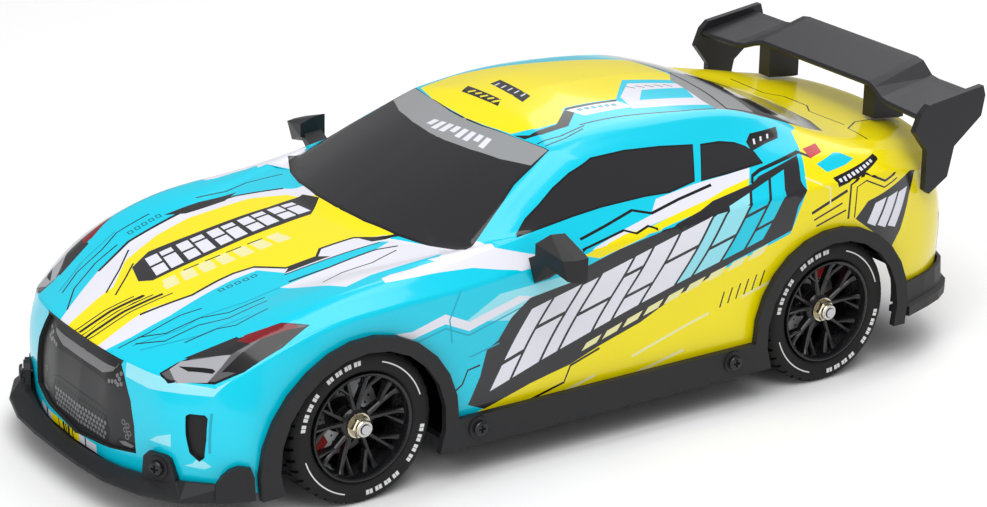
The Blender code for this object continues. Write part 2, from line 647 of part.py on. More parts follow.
for side, hand in SIDES:
    inner, outer = FLARE_R
    foot = SILL_Z[0]
    outline = [
        *arc(AXLE_X, outer, 10.4, SILL_Z[1], 14, FLARE_LEAN[1]),
        *arc(-AXLE_X, outer, SILL_Z[1], 14.5, 14),
        *reversed(arc(-AXLE_X, inner, foot, 14.5, 14)),
        *reversed(arc(AXLE_X, inner, 10.4, foot, 14, FLARE_LEAN[0])),
    ]
    skirt = flat(f"side_skirt_{hand}", outline, side * FLARE_Y[0], side * FLARE_Y[1], material="black_trim")
    for x, z in SIDE_SCREWS:
        label = "fore" if x > 0 else "aft"
        boss = cylinder(f"boss_{label}_{hand}", BOSS_R, (x, side * 63, z), (x, side * BOSS_Y, z))
        bore = cylinder(f"side_bore_{label}_{hand}", BORE_R, (x, side * 50, z), (x, side * 70, z))
        change(skirt, "UNION", boss)
        change(skirt, "DIFFERENCE", bore)
        change(shell, "DIFFERENCE", bore)
        screw(f"screw_{label}_{hand}", (x, side * BOSS_Y, z), (0, side, 0), GAP, 9.4)
    head, stalk = (corners if side > 0 else mirrored(corners) for corners in (MIRROR, MIRROR_STALK))
    change(hull(f"mirror_{hand}", head, "black_trim"), "UNION", hull(f"stalk_{hand}", stalk))

wing_rings = [
    [
        (front_x, y, lead), (rear_x + 3, y, trail - 0.7), (rear_x, y, trail),
        (rear_x - 0.2, y, trail - BLADE_THICK), (rear_x + 3, y, trail - 0.7 - BLADE_THICK),
        (front_x, y, lead - BLADE_THICK), (front_x + 0.7, y, lead - BLADE_THICK / 2),
    ]
    for y, lead, trail, front_x, rear_x in BLADE
]
wing = mirror(loft("rear_wing", wing_rings, "wing_grey", open_start=True))
for side, hand in SIDES:
    change(
        wing, "UNION",
        flat(f"endplate_{hand}", ENDPLATE, side * ENDPLATE_Y[0], side * ENDPLATE_Y[1]),
        flat(f"strut_{hand}", STRUT, side * STRUT_Y[0], side * STRUT_Y[1]),
    )


# ---------------------------------------------------------------- wheels
def wheel(where, axle, side, hand):
    """Tyre, rim, axle and nut at one corner, all turning about the same line."""
    centre = (axle, side * WHEEL_Y, TYRE_R)
    way = (0, side, 0)
    tyre = (
        (19, 10), (22.6, 10), (TYRE_R, 8.4), (TYRE_R, -8.4), (22.4, -10), (19, -10),
        (RIM_R + GAP, -8.6), (RIM_R + GAP, 8.8),
    )
    turned(f"tyre_{where}_{hand}", tyre, centre, way, "tyre_rubber", SEGMENTS, ring=True)
    inner = RIM_R - BARREL_WALL
    barrel = ((RIM_R, 9.6), (RIM_R, -9.4), (inner, -9.4), (inner, 9.6))
    rim = turned(f"rim_{where}_{hand}", barrel, centre, way, "rim_black", SEGMENTS, ring=True)
    bore = AXLE_R + GAP
    hub = ((HUB_R, 6.6), (HUB_R, 0.2), (bore, 0.2), (bore, 6.6))
    for pair in range(SPOKE_PAIRS):
        for lean in (-1, 1):
            turn = math.pi / 2 + 2 * math.pi * pair / SPOKE_PAIRS
            root, tip = turn + lean * 0.12, turn + lean * 0.3
            start, end = (
                (axle + radius * math.cos(a), side * SPOKE_Y, TYRE_R + radius * math.sin(a))
                for radius, a in ((HUB_R - 1.2, root), (inner + 0.5, tip))
            )
            spoke = beam(f"spoke_{where}_{hand}_{pair}_{lean}", start, end, SPOKE_WIDTH, SPOKE_DEPTH)
            change(rim, "UNION", spoke)
    change(rim, "UNION", turned(f"hub_{where}_{hand}", hub, centre, way, steps=20, ring=True))

    def at(y):
        return (axle, side * y, TYRE_R)

    nut = cylinder(f"wheel_nut_{where}_{hand}", 3.9, at(58.6), at(59.3), "nut_brass", centre, 24)
    collar = ((0, 62.6), (2.4, 62.6), (2.7, 61.8), (2.7, 60), (0, 60))
    change(
        nut, "UNION",
        cylinder(f"nut_hex_{where}_{hand}", 3.4, at(59.2), at(61.4), segments=6),
        turned(f"nut_collar_{where}_{hand}", collar, at(0), way),
    )
    change(nut, "DIFFERENCE", cylinder(f"nut_bore_{where}_{hand}", AXLE_R + GAP, at(57), at(64)))

    start = 38.9 if where == "front" else 14.6
    shaft = (
        (0, AXLE_END), (AXLE_R, AXLE_END), (AXLE_R, 51.4), (3.5, 51.4), (3.5, 49.4), (AXLE_R, 49.4),
        (AXLE_R, start), (0, start),
    )
    turned(f"axle_{where}_{hand}", shaft, at(0), way, "axle_steel")


# ---------------------------------------------------------------- suspension and steering
def corner(where, axle, side, hand):
    """Lower arm, knuckle with brake, and spring."""
    front = where == "front"
    pivot = (axle, side * PIVOT_Y, PIVOT_Z)
    arm = flat(
        f"arm_{where}_{hand}", [(axle + u, side * v) for u, v in ARM], 11.2, 13, "z", "chassis_nylon", pivot,
    )

    def along_hinge(name, radius, reach):
        start, end = ((axle + u, side * PIVOT_Y, PIVOT_Z) for u in (-reach, reach))
        return cylinder(name, radius, start, end, segments=10)

    change(
        arm, "UNION",
        along_hinge(f"bush_{where}_{hand}", 1.6, 10.8), along_hinge(f"hinge_pin_{where}_{hand}", 1.0, 13.4),
    )
    king_y = side * KING_Y
    knuckle = block(
        f"knuckle_{where}_{hand}", (axle - 4, side * 38.6, 13.3), (axle + 4, side * 47.5, 32.5),
        "caliper_red", (axle, king_y, 13.3),
    )
    disc = cylinder(
        f"disc_{where}_{hand}", 13, (axle, side * 47.1, TYRE_R), (axle, side * 48.2, TYRE_R), segments=20,
    )
    around = math.radians(-28 if front else 105)
    grip = [
        (axle + r * math.cos(around + a), TYRE_R + r * math.sin(around + a))
        for r, a in ((9, -0.42), (14.3, -0.36), (14.3, 0), (14.3, 0.36), (9, 0.42))
    ]
    change(knuckle, "UNION", disc, flat(f"caliper_{where}_{hand}", grip, side * 46.4, side * 51))
    bore_ends = ((axle, side * y, TYRE_R) for y in (30, 49))
    change(knuckle, "DIFFERENCE", cylinder(f"axle_bore_{where}_{hand}", AXLE_R + GAP, *bore_ends))
    if front:
        post = cylinder(f"kingpin_{hand}", 1.5, (axle, king_y, 11.6), (axle, king_y, 17), segments=10)
        change(arm, "UNION", post)
        lever = block(f"lever_{hand}", (axle - 9.6, side * 38.7, 19.3), (axle - 3, side * 42.3, 21.8))
        pin_x, pin_y = axle - STEER_ARM, side * (KING_Y - 1.5)
        finger = cylinder(f"finger_{hand}", 0.9, (pin_x, pin_y, 14.8), (pin_x, pin_y, 20), segments=10)
        change(knuckle, "UNION", lever, finger)
        socket = cylinder(f"king_bore_{hand}", 1.8, (axle, king_y, 12), (axle, king_y, 17.4), segments=10)
        change(knuckle, "DIFFERENCE", socket)

    low_z, high_z = SPRING_Z
    seat = (axle + SPRING_X, side * SPRING_Y, high_z)
    curve = bpy.data.curves.new(f"spring_{where}_{hand}", "CURVE")
    curve.dimensions = "3D"
    curve.bevel_depth = WIRE_R * MM
    curve.bevel_resolution = 2
    curve.use_fill_caps = True
    wire = curve.splines.new("POLY")
    turns = COILS * SPRING_STEPS
    wire.points.add(turns)
    for i, point in enumerate(wire.points):
        a = 2 * math.pi * i / SPRING_STEPS
        z = low_z + WIRE_R + (high_z - low_z - 2 * WIRE_R) * i / turns - high_z
        point.co = (SPRING_R * math.cos(a) * MM, SPRING_R * math.sin(a) * MM, z * MM, 1)
    placed(f"spring_{where}_{hand}", curve, "spring_steel", seat)


for axle, where in AXLES:
    for side, hand in SIDES:
        wheel(where, axle, side, hand)
        corner(where, axle, side, hand)

tie_half = [
    (64.8, 16), (74.9, 16), (74.9, 36), (76.5, 38), (76.5, 43.4), (FORK_X, 43.4), (FORK_X, 38), (79.1, 36),
]
tie_outline = [(64.8, 8), *tie_half, *((x, -y) for x, y in tie_half[:1:-1]), (74.9, 8)]
tie = flat("tie_rod", tie_outline, *TIE_Z, "z", "black_trim", (AXLE_X - STEER_ARM, 0, TIE_Z[0]))
for side, hand in SIDES:
    change(tie, "DIFFERENCE", block(f"tie_fork_{hand}", (77.5, side * 38.8, 15), (84, side * 42.2, 19)))
change(tie, "DIFFERENCE", block("horn_slot", (65.8, 10.8, 15), (69.4, 13.2, 19)))

servo_x, servo_y = SERVO_AXIS
servo = block("steering_servo", (42, servo_y - 6, 11.3), (64.4, servo_y + 6, 21), "servo_case")
change(servo, "UNION", cylinder("servo_neck", 3.5, (servo_x, servo_y, 20.5), (servo_x, servo_y, 22)))
horn_outline = [(servo_x + u, servo_y + v) for u, v in HORN]
horn = flat("servo_horn", horn_outline, 22.3, 24.1, "z", "gear_nylon", (servo_x, servo_y, 22.3))
pin_x = servo_x + STEER_ARM
change(horn, "UNION", cylinder("horn_pin", 0.9, (pin_x, servo_y, 15), (pin_x, servo_y, 23), segments=10))


# ---------------------------------------------------------------- chassis and drive
tub = mirror(flat("chassis_tub", FLOOR, *FLOOR_Z, "z", "chassis_nylon"), bisect=True)
for side, hand in SIDES:
    change(tub, "UNION", block(f"tub_wall_{hand}", (-57, side * 55, 10), (54, side * 57, 20)))
    for axle, where in AXLES:
        for end, place in ((-1, "aft"), (1, "fore")):
            near, far = (axle + end * 11.4, side * 16, 9), (axle + end * 14.4, side * 22.4, 15)
            change(tub, "UNION", block(f"ear_{where}_{hand}_{place}", near, far))
        bore_ends = ((axle + u, side * PIVOT_Y, PIVOT_Z) for u in (-16, 16))
        change(tub, "DIFFERENCE", cylinder(f"ear_bore_{where}_{hand}", 1.3, *bore_ends, segments=10))
    for label in ("fore", "aft"):
        change(tub, "DIFFERENCE", bpy.data.objects[f"side_bore_{label}_{hand}"])
change(tub, "DIFFERENCE", block("battery_hole", (DOOR[0], DOOR[2], 8), (DOOR[1], DOOR[3], 12)))
change(tub, "DIFFERENCE", block("switch_hole", (SWITCH[0], SWITCH[2], 8), (SWITCH[1], SWITCH[3], 12)))

door_hinge = ((DOOR[0] + DOOR[1]) / 2, DOOR[3], FLOOR_Z[0])
door_ends = (DOOR[0] + GAP, DOOR[2] + GAP, 9), (DOOR[1] - GAP, DOOR[3] - GAP, 10.7)
block("battery_door", *door_ends, "chassis_nylon", door_hinge)
flat("battery_pack", PACK, -62, -15, "x", "battery_wrap")

knob_ends = (SWITCH[0] + 2.2, SWITCH[2] + 1, 8.6), (SWITCH[0] + 4.8, SWITCH[3] - 1, 12)
knob_origin = (SWITCH[0] + 3.5, (SWITCH[2] + SWITCH[3]) / 2, 9)
knob = block("power_switch", *knob_ends, "switch_red", knob_origin)
flange_ends = (SWITCH[0] - 3, SWITCH[2] - 1, 11.3), (SWITCH[0] + 10, SWITCH[3] + 1, 12.3)
change(knob, "UNION", block("switch_flange", *flange_ends))

board = block("circuit_board", (8, -27, 13), (40, -7, 14.4), "board_green")
for x in (12, 36):
    change(board, "UNION", cylinder(f"standoff_{x}", 2, (x, -17, 11.3), (x, -17, 13.5), segments=10))
change(board, "UNION", block("receiver", (16, -22, 14), (30, -12, 17.5)))


def gear(teeth, phase, y):
    """Outline of a straight-flanked gear with working backlash, centred at y on the shaft's level."""
    pitch = teeth * GEAR_MODULE / 2
    step = 2 * math.pi / teeth
    outline = []
    for i in range(teeth):
        a = phase + i * step
        for height, share in ((-0.9, -0.33), (0.55, -0.13), (0.55, 0.13), (-0.9, 0.33)):
            radius = pitch + height
            turn = a + share * step
            outline.append((y + radius * math.cos(turn), SHAFT_Z + radius * math.sin(turn)))
    return outline


def on_shaft(name, radius, start, end, y=0.0, material=None, origin=(0, 0, 0), segments=12):
    """A cylinder along x at the shaft's level."""
    return cylinder(name, radius, (start, y, SHAFT_Z), (end, y, SHAFT_Z), material, origin, segments)


on_shaft("propeller_shaft", AXLE_R, -76, 76, 0, "axle_steel", (0, 0, SHAFT_Z))
spur = flat("spur_gear", gear(SPUR_TEETH, math.pi, 0), -23, -18.5, "x", "gear_nylon", (-20.7, 0, SHAFT_Z))
change(spur, "DIFFERENCE", on_shaft("spur_bore", AXLE_R + 0.15, -30, -10))
motor_line = (-20.7, MOTOR_Y, SHAFT_Z)
pinion_outline = gear(PINION_TEETH, math.pi / PINION_TEETH, MOTOR_Y)
pinion = flat("motor_pinion", pinion_outline, -23.2, -18.3, "x", "axle_steel", motor_line)
change(pinion, "UNION", on_shaft("motor_spindle", 1, -26.7, -19.7, MOTOR_Y, segments=10))
motor = on_shaft("motor", 9, -51, -26.5, MOTOR_Y - 0.2, "motor_can", (-38, MOTOR_Y, SHAFT_Z), 20)
change(motor, "UNION", on_shaft("motor_nose", 3, -27, -25, MOTOR_Y))
change(motor, "DIFFERENCE", on_shaft("motor_bore", 1.3, -30, -20, MOTOR_Y, segments=10))
change(motor, "UNION", block("motor_cradle", (-50, MOTOR_Y - 7, 11.3), (-28, MOTOR_Y + 7, 17.5)))

for axle, where in AXLES:
    case = block(f"{where}_gearbox", (axle - 9, -13, 18.4), (axle + 9, 13, 32), "gearbox_nylon")
    tower = [(axle + u, v) for u, v in TOWER]
    change(
        case, "UNION",
        block(f"{where}_foot", (axle + 0.5, -11, 11.3), (axle + 9, 11, 19)),
        block(f"{where}_mast", (axle + 4, -6, 31), (axle + 9, 6, 39)),
        flat(f"{where}_tower", tower, 37.4, 40, "z"),
    )
    inwards = -1 if where == "front" else 1
    mouth = on_shaft(f"{where}_shaft_mouth", AXLE_R + GAP, axle + inwards * 7, axle + inwards * 20)
    change(case, "DIFFERENCE", mouth)
    if where == "rear":
        for side, hand in SIDES:
            cup = cylinder(f"rear_cup_{hand}", 2, (axle, side * 8, SHAFT_Z), (axle, side * 20, SHAFT_Z))
            change(case, "DIFFERENCE", cup)
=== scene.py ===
"""Looks of the 1:16 drift car: printed shell, trim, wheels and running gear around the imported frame.
Shapes are written in millimetres, +X the nose, +Y the left side, +Z up, and MM turns them into metres."""

import math

import bmesh
import bpy
import numpy as np
from mathutils import Matrix, Vector
from mathutils.geometry import delaunay_2d_cdt
from mathutils.kdtree import KDTree


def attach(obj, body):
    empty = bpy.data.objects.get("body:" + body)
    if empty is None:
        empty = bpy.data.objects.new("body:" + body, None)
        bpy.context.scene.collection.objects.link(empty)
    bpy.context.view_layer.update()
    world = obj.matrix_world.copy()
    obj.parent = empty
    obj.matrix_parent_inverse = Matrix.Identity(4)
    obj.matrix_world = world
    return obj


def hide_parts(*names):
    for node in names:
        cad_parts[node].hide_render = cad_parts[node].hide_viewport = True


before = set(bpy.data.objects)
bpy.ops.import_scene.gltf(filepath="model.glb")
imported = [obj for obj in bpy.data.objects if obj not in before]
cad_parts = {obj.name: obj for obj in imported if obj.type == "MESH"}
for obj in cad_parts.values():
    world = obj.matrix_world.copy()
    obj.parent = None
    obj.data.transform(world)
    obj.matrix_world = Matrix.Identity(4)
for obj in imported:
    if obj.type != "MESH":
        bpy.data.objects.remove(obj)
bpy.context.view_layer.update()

MM = 0.001
WALL = 1.3
AXLE_X = 87.5
ARCH_Z = 21.5
ARCH_R = 29.2
TYRE_R = 24.0
WHEEL_Y = 51.6
VENT_DEPTH = 1.4  # how far the grille and the vents lie under the paint
IMAGE_WIDTH = 987
SHARP_ABOVE = math.radians(32)
BEVEL_ABOVE = math.radians(40)


# ---------------------------------------------------------------- outlines
def at(*numbers):
    """Points of an outline, from x and y in turn."""
    return list(zip(numbers[::2], numbers[1::2]))


def spots(*numbers):
    """Points of the surface, from x, y and z in turn."""
    return list(zip(numbers[::3], numbers[1::3], numbers[2::3]))


def turned(outline, side):
    """An outline of the left side (1) or of the right side (-1), seen from the front."""
    return [(side * y, z) for y, z in outline]


def both(half, turn=(1, -1)):
    """A closed outline from its left half and the mirror image; (-1, 1) is for views along the car."""
    u, v = turn
    return half + [(x * u, y * v) for x, y in reversed(half) if (x, y) != (x * u, y * v)]


def circle(middle, radius, count=48):
    """Points round a circle."""
    turns = [2 * math.pi * k / count for k in range(count)]
    return [(middle[0] + radius * math.cos(a), middle[1] + radius * math.sin(a)) for a in turns]


def grown(outline, by):
    """An outline moved outwards by a distance."""
    path = np.array(outline, float)
    x, y = path.T
    turn = 1 if (x * np.roll(y, -1) - y * np.roll(x, -1)).sum() > 0 else -1
    along = np.roll(path, -1, axis=0) - np.roll(path, 1, axis=0)
    along /= np.maximum(np.linalg.norm(along, axis=1, keepdims=True), 1e-9)
    out = path + np.stack([along[:, 1], -along[:, 0]], axis=1) * by * turn
    return [tuple(p) for p in out]


# ---------------------------------------------------------------- camera, floor and light
def camera():
    """Three-quarter view of the nose and left side, with a long lens."""
    place = Vector((525.2, 756.9, 381.9)) * MM
    azimuth, elevation, roll = (math.radians(a) for a in (55.225, 20.202, 1.039))
    back = Vector((
        math.cos(azimuth) * math.cos(elevation), math.sin(azimuth) * math.cos(elevation), math.sin(elevation),
    ))
    level = Vector((0, 0, 1)).cross(back).normalized()
    upright = back.cross(level)
    right = level * math.cos(roll) + upright * math.sin(roll)
    up = upright * math.cos(roll) - level * math.sin(roll)
    lens = bpy.data.cameras.new("camera")
    lens.sensor_width = 36
    lens.lens = 112.73
    lens.shift_x = -1.3 / IMAGE_WIDTH
    lens.shift_y = -4.07 / IMAGE_WIDTH
    lens.clip_start = 0.01
    obj = bpy.data.objects.new("camera", lens)
    obj.matrix_world = Matrix.Translation(place) @ Matrix((right, up, back)).transposed().to_4x4()
    bpy.context.scene.collection.objects.link(obj)
    bpy.context.scene.camera = obj
    bpy.context.scene.view_settings.view_transform = "Standard"


def plain(name, colour, rough=0.5, metal=0.0):
    """A Principled material and its node tree, with constants on the shader's own sockets."""
    made = bpy.data.materials.new(name)
    made.use_nodes = True
    shader = made.node_tree.nodes["Principled BSDF"]
    shader.inputs["Base Color"].default_value = (*colour, 1)
    shader.inputs["Roughness"].default_value = rough
    shader.inputs["Metallic"].default_value = metal
    shader.inputs["Specular IOR Level"].default_value = 0.28
    made.diffuse_color = (*colour, 1)
    return made


def studio():
    """Pale floor and broad soft lights."""
    bpy.ops.mesh.primitive_plane_add(size=8, location=(0, 0, 0))
    floor = bpy.context.object
    floor.name = "floor"
    floor.data.materials.append(plain("floor_white", (0.93, 0.93, 0.93), 0.65))
    world = bpy.data.worlds.new("studio")
    bpy.context.scene.world = world
    world.use_nodes = True
    world.node_tree.nodes["Background"].inputs["Color"].default_value = (1, 1, 1, 1)
    world.node_tree.nodes["Background"].inputs["Strength"].default_value = 0.36
    for name, place, size, power in (
        ("key", (0.5, 0.7, 1.3), (1.2, 0.8), 12.5),
        ("side", (1.1, 0.5, 0.5), (0.8, 0.8), 3),
        ("back", (-0.9, -0.5, 1.0), (1.2, 0.8), 6),
        ("top", (0.0, 0.0, 1.5), (1.4, 0.5), 7),
    ):
        lamp = bpy.data.lights.new(name, "AREA")
        lamp.shape = "RECTANGLE"
        lamp.size, lamp.size_y = size
        lamp.energy = power
        obj = bpy.data.objects.new(name, lamp)
        obj.location = place
        obj.rotation_euler = (Vector(place) - Vector((0, 0, 0.04))).to_track_quat("Z", "Y").to_euler()
        bpy.context.scene.collection.objects.link(obj)


# ---------------------------------------------------------------- body surface
# Upper surface, one row per station from nose to tail, each from the shoulder to the middle
TOP = (
    spots(131.5,53,43.2, 138.5,44.5,43.6, 142.5,35,44.2, 145,22.5,44.5, 145.8,12,44.6, 146,0,44.6),
    spots(120.5,57.5,49, 124.5,49,51.5, 127,39,51, 129,28,50.6, 130,15,50.8, 130,0,50.8),
    spots(103,60,56.2, 105,52.5,59.6, 106,43,59, 107,32,57.2, 108,17,57.2, 108,0,57),
    spots(86,61.3,58.8, 87,53.5,63.6, 88,44.5,63.2, 89,35,61.2, 90,18,61.2, 90,0,61),
    spots(58,61.2,59.8, 60,54,65.6, 64,48,65.8, 68,42,64.6, 73,22,64.2, 74,0,64),
    spots(30,61,61.6, 29,55,69.6, 36,52.5,68.6, 44.6,48.6,67.1, 58,25,65.8, 62,0,65.4),
    spots(16,60.8,62.4, 14,54.6,70.4, 17.5,48.5,77, 25.5,43.2,78, 31,23,79.6, 32.5,0,80.2),
    spots(0,60.6,63.2, -1,54.2,71, -1,44.2,85.4, 6.4,36.9,88, 2.5,20,91.4, 1.5,0,92.4),
    spots(-18,60.4,64, -19,53.8,71.6, -20,43,86, -16,37,90.6, -18,20,93.2, -18,0,94.2),
    spots(-38,60.4,65, -38,53.4,72.4, -40,42.6,84.8, -38,36.8,90.6, -38,20,92.8, -38,0,93.8),
    spots(-62,61,66.4, -62,53.2,73.4, -61,43.4,81.4, -60,36.2,89, -64,19,90.6, -66,0,91.2),
    spots(-92,61.3,67.2, -92,54.4,74, -86,45.8,78.4, -82,37.2,83.4, -88,20,82.8, -90,0,82.8),
    spots(-108,60.4,66.6, -107,53.4,72.8, -104.5,46,75, -101.5,38.4,75.8, -109,20,74.2, -112,0,73.8),
    spots(-122,56.6,64, -122.5,51.4,69, -124,45,71.2, -126,37.5,71.9, -129.5,20,72, -131,0,72),
    spots(-133,52,61.5, -137.6,47.4,64.8, -141,41.5,67.6, -143.6,35,69.2, -146.6,18,70.2, -147.6,0,70.5),
)
# Below the front edge of TOP, from the middle to the corner, four points down each
FRONT = (
    spots(147.6,0,37, 148.8,0,28, 149.4,0,19, 149,0,12),
    spots(147.4,12.2,37, 148.4,12.5,28, 148.8,12.5,19, 148.4,12.5,12),
    spots(146.4,23.2,37, 147,24.5,28, 147,25.5,19, 146.6,25.5,12),
    spots(143.6,36,37, 144,37.5,28, 143.4,38.5,19, 142.8,38.5,12),
    spots(139.4,45.8,37, 139.4,47.6,28, 138.2,49,19, 137.4,49,12),
)
# Below the shoulder, one per station of TOP
SIDE = (
    spots(131.6,54.2,37, 131,56,28, 129.6,57.4,19, 129,57.4,12),
    spots(120.5,59.2,41, 120,61,31, 119.4,61.6,20, 119.2,61.8,12),
    spots(103,61.7,46, 103,61.9,34, 103,61.9,22, 103,61.9,12),
    spots(86,61.9,48, 86,61.9,36, 86,61.9,23, 86,61.9,12),
    spots(57.5,61.8,50, 56.5,61.4,38, 56,61.6,24, 55,61.8,12),
    spots(30,61.3,53, 29,60,39, 28,60.8,24, 28,61.4,12),
    spots(16,61.1,53.6, 15,59.7,39.4, 14,60.7,24, 14,61.4,12),
    spots(0,61,54, -1,59.6,40, -2,60.7,24, -2,61.4,12),
    spots(-18,60.9,54.4, -19,59.6,40, -20,60.7,24, -20,61.4,12),
    spots(-38,61.1,55, -38,60,40, -38,60.8,24, -38,61.5,12),
    spots(-62,61.8,56, -62,61.4,40, -62,61.6,25, -62,61.8,13),
    spots(-92,61.9,56.4, -92,61.9,42, -92,61.9,28, -92,61.9,18),
    spots(-108,61.8,55.6, -108,61.8,42, -108,61.8,29, -108,61.6,20),
    spots(-122.5,58.2,54, -123,59.2,42, -123,59.2,30, -122.5,59,21.5),
    spots(-135.5,52.8,54, -137.5,54,42, -137.5,54,31, -137,53.8,22.5),
)
# Below the tail edge of TOP, from the corner to the middle
REAR = (
    spots(-143,47.4,55, -146,47.8,42, -146,47.6,31, -145.5,47.4,22.5),
    spots(-146.5,41,56, -149.2,41,42, -149.2,41,31, -148.7,41,22.5),
    spots(-148.4,34.5,57, -150.4,34.5,42, -150.4,34.5,31, -149.9,34.5,22.5),
    spots(-149.6,18,57.5, -150.6,18,42, -150.6,18,31, -150.2,18,22.5),
    spots(-149.9,0,57.6, -150.7,0,42, -150.7,0,31, -150.3,0,22.5),
)
ROW_CREASES = (5, 7)  # foot and head of the windscreen
COLUMN_CREASES = (1, 2, 3)  # foot and head of the side windows, roof edge
HEADLIGHT = spots(141.8,38.5,46.4, 140.8,42,43.6, 130.8,52,43.6, 124.8,57,49.2, 113,58.8,54.4,
    103,57.4,58.4, 110,52.6,59.6, 125,46,54.6, 136.8,40,49.4)


def bends(knots, points):
    """Second derivatives of a natural cubic spline."""
    count = len(knots)
    found = np.zeros_like(points)
    if count < 3:
        return found
    step = np.diff(knots)
    slope = np.diff(points.reshape(count, -1), axis=0) / step[:, None]
    matrix = np.diag(2 * (step[:-1] + step[1:])) + np.diag(step[1:-1], 1) + np.diag(step[1:-1], -1)
    right = 6 * np.diff(slope, axis=0)
    found[1:-1] = np.linalg.solve(matrix, right).reshape(points[1:-1].shape)
    return found


def spline(knots, points, wanted, creases=()):
    """Points of a natural cubic spline at the wanted parameters; it bends sharply at each crease."""
    out = np.zeros((len(wanted), *points.shape[1:]))
    ends = [0, *creases, len(knots) - 1]
    for a, b in zip(ends, ends[1:]):
        t, p = knots[a : b + 1], points[a : b + 1]
        bend = bends(t, p)
        for k, w in enumerate(wanted):
            if not t[0] - 1e-9 <= w <= t[-1] + 1e-9:
                continue
            i = min(max(int(np.searchsorted(t, w)) - 1, 0), len(t) - 2)
            step = t[i + 1] - t[i]
            u, v = (t[i + 1] - w) / step, (w - t[i]) / step
            curve = ((u**3 - u) * bend[i] + (v**3 - v) * bend[i + 1]) * step * step / 6
            out[k] = u * p[i] + v * p[i + 1] + curve
    return out


def lengths(grid):
    """Mean distance along the first axis of a grid of points, as spline knots."""
    steps = np.linalg.norm(np.diff(grid, axis=0), axis=-1).mean(axis=1)
    return np.concatenate([[0], np.cumsum(steps)])


def softened(grid):
    """Creases inside a fine grid rounded over a millimetre or two; its edges stay."""
    for _ in range(2):
        middle = grid.copy()
        middle[1:-1] = (grid[:-2] + 2 * grid[1:-1] + grid[2:]) / 4
        grid = middle.copy()
        grid[:, 1:-1] = (middle[:, :-2] + 2 * middle[:, 1:-1] + middle[:, 2:]) / 4
    return grid


def normals_of(grid):
    """Unit normals of a grid, pointing away from the middle of the car."""
    found = np.cross(np.gradient(grid, axis=0), np.gradient(grid, axis=1))
    found /= np.maximum(np.linalg.norm(found, axis=-1, keepdims=True), 1e-9)
    away = ((grid - np.array((0, 0, 20))) * found).sum()
    return found if away > 0 else -found


def fine_surface():
    """Left half of the body as two grids, a point each millimetre: the top, and the band below its rim."""
    top = np.array(TOP, float)
    along, across = lengths(top), lengths(top.transpose(1, 0, 2))
    rows = np.linspace(0, along[-1], round(along[-1]) + 1)
    columns = np.linspace(0, across[-1], round(across[-1]) + 1)
    sheet = spline(along, top, rows, ROW_CREASES)
    sheet = spline(across, sheet.transpose(1, 0, 2), columns, COLUMN_CREASES).transpose(1, 0, 2)
    rim = np.concatenate([sheet[0, :0:-1], sheet[:, 0], sheet[-1, 1:]])
    chain = np.array((*FRONT, *SIDE, *REAR), float)
    side, tail = across[-1], across[-1] + along[-1]
    knots = np.concatenate([side - across[:0:-1], side + along, tail + across[1:]])
    wanted = np.concatenate([side - columns[:0:-1], side + rows, tail + columns[1:]])
    lower = spline(knots, chain, wanted)
    net = np.concatenate([rim[:, None], lower], axis=1)
    drops = lengths(net.transpose(1, 0, 2))
    down = np.linspace(0, drops[-1], round(drops[-1]) + 1)
    band = spline(drops, net.transpose(1, 0, 2), down).transpose(1, 0, 2)
    return softened(sheet), softened(band)


# ---------------------------------------------------------------- paint shapes on the surface
LAMP_AXIS = Vector((0.45, 0.45, 0.77)).normalized()
LAMP_FIRST = LAMP_AXIS.cross(Vector((0, 0, 1))).normalized()
LAMP_SECOND = LAMP_AXIS.cross(LAMP_FIRST)
VIEWS = {
    "side": np.array(((1, 0, 0), (0, 0, 1)), float),
    "top": np.array(((1, 0, 0), (0, 1, 0)), float),
    "front": np.array(((0, 1, 0), (0, 0, 1)), float),
    "rear": np.array(((0, 1, 0), (0, 0, 1)), float),
    "lamp": np.array((tuple(LAMP_FIRST), tuple(LAMP_SECOND))),
}
COARSE = 3  # spacing of the mesh away from any outline, in grid steps
ALONG_EDGE = 1.5  # spacing of points along an outline
WELD_STEPS = 500  # per millimetre; points in the same step are one point


def seen(grid, view, is_top):
    """Which points of a grid a view may place outlines on."""
    x, y = grid[..., 0], grid[..., 1]
    if view == "top":
        return np.full(x.shape, is_top)
    if view == "lamp":
        return (x > 95) & (y > 30)
    if view == "front":
        return np.full(x.shape, not is_top) & (x > 118)
    if view == "rear":
        return np.full(x.shape, not is_top) & (x < -118)
    if is_top:
        return y > np.where(x > 58, 53, np.where(x < -95, 44, 36))
    return (np.abs(x) < 146) & (y > 45)


def inside(points, outline):
    """Which 2-D points lie in a closed outline."""
    x, y = points[:, 0], points[:, 1]
    found = np.zeros(len(points), bool)
    for (ax, ay), (bx, by) in zip(outline, np.roll(outline, -1, axis=0)):
        if ay == by:
            continue
        cross = ((ay > y) != (by > y)) & (x < (bx - ax) * (y - ay) / (by - ay) + ax)
        found ^= cross
    return found


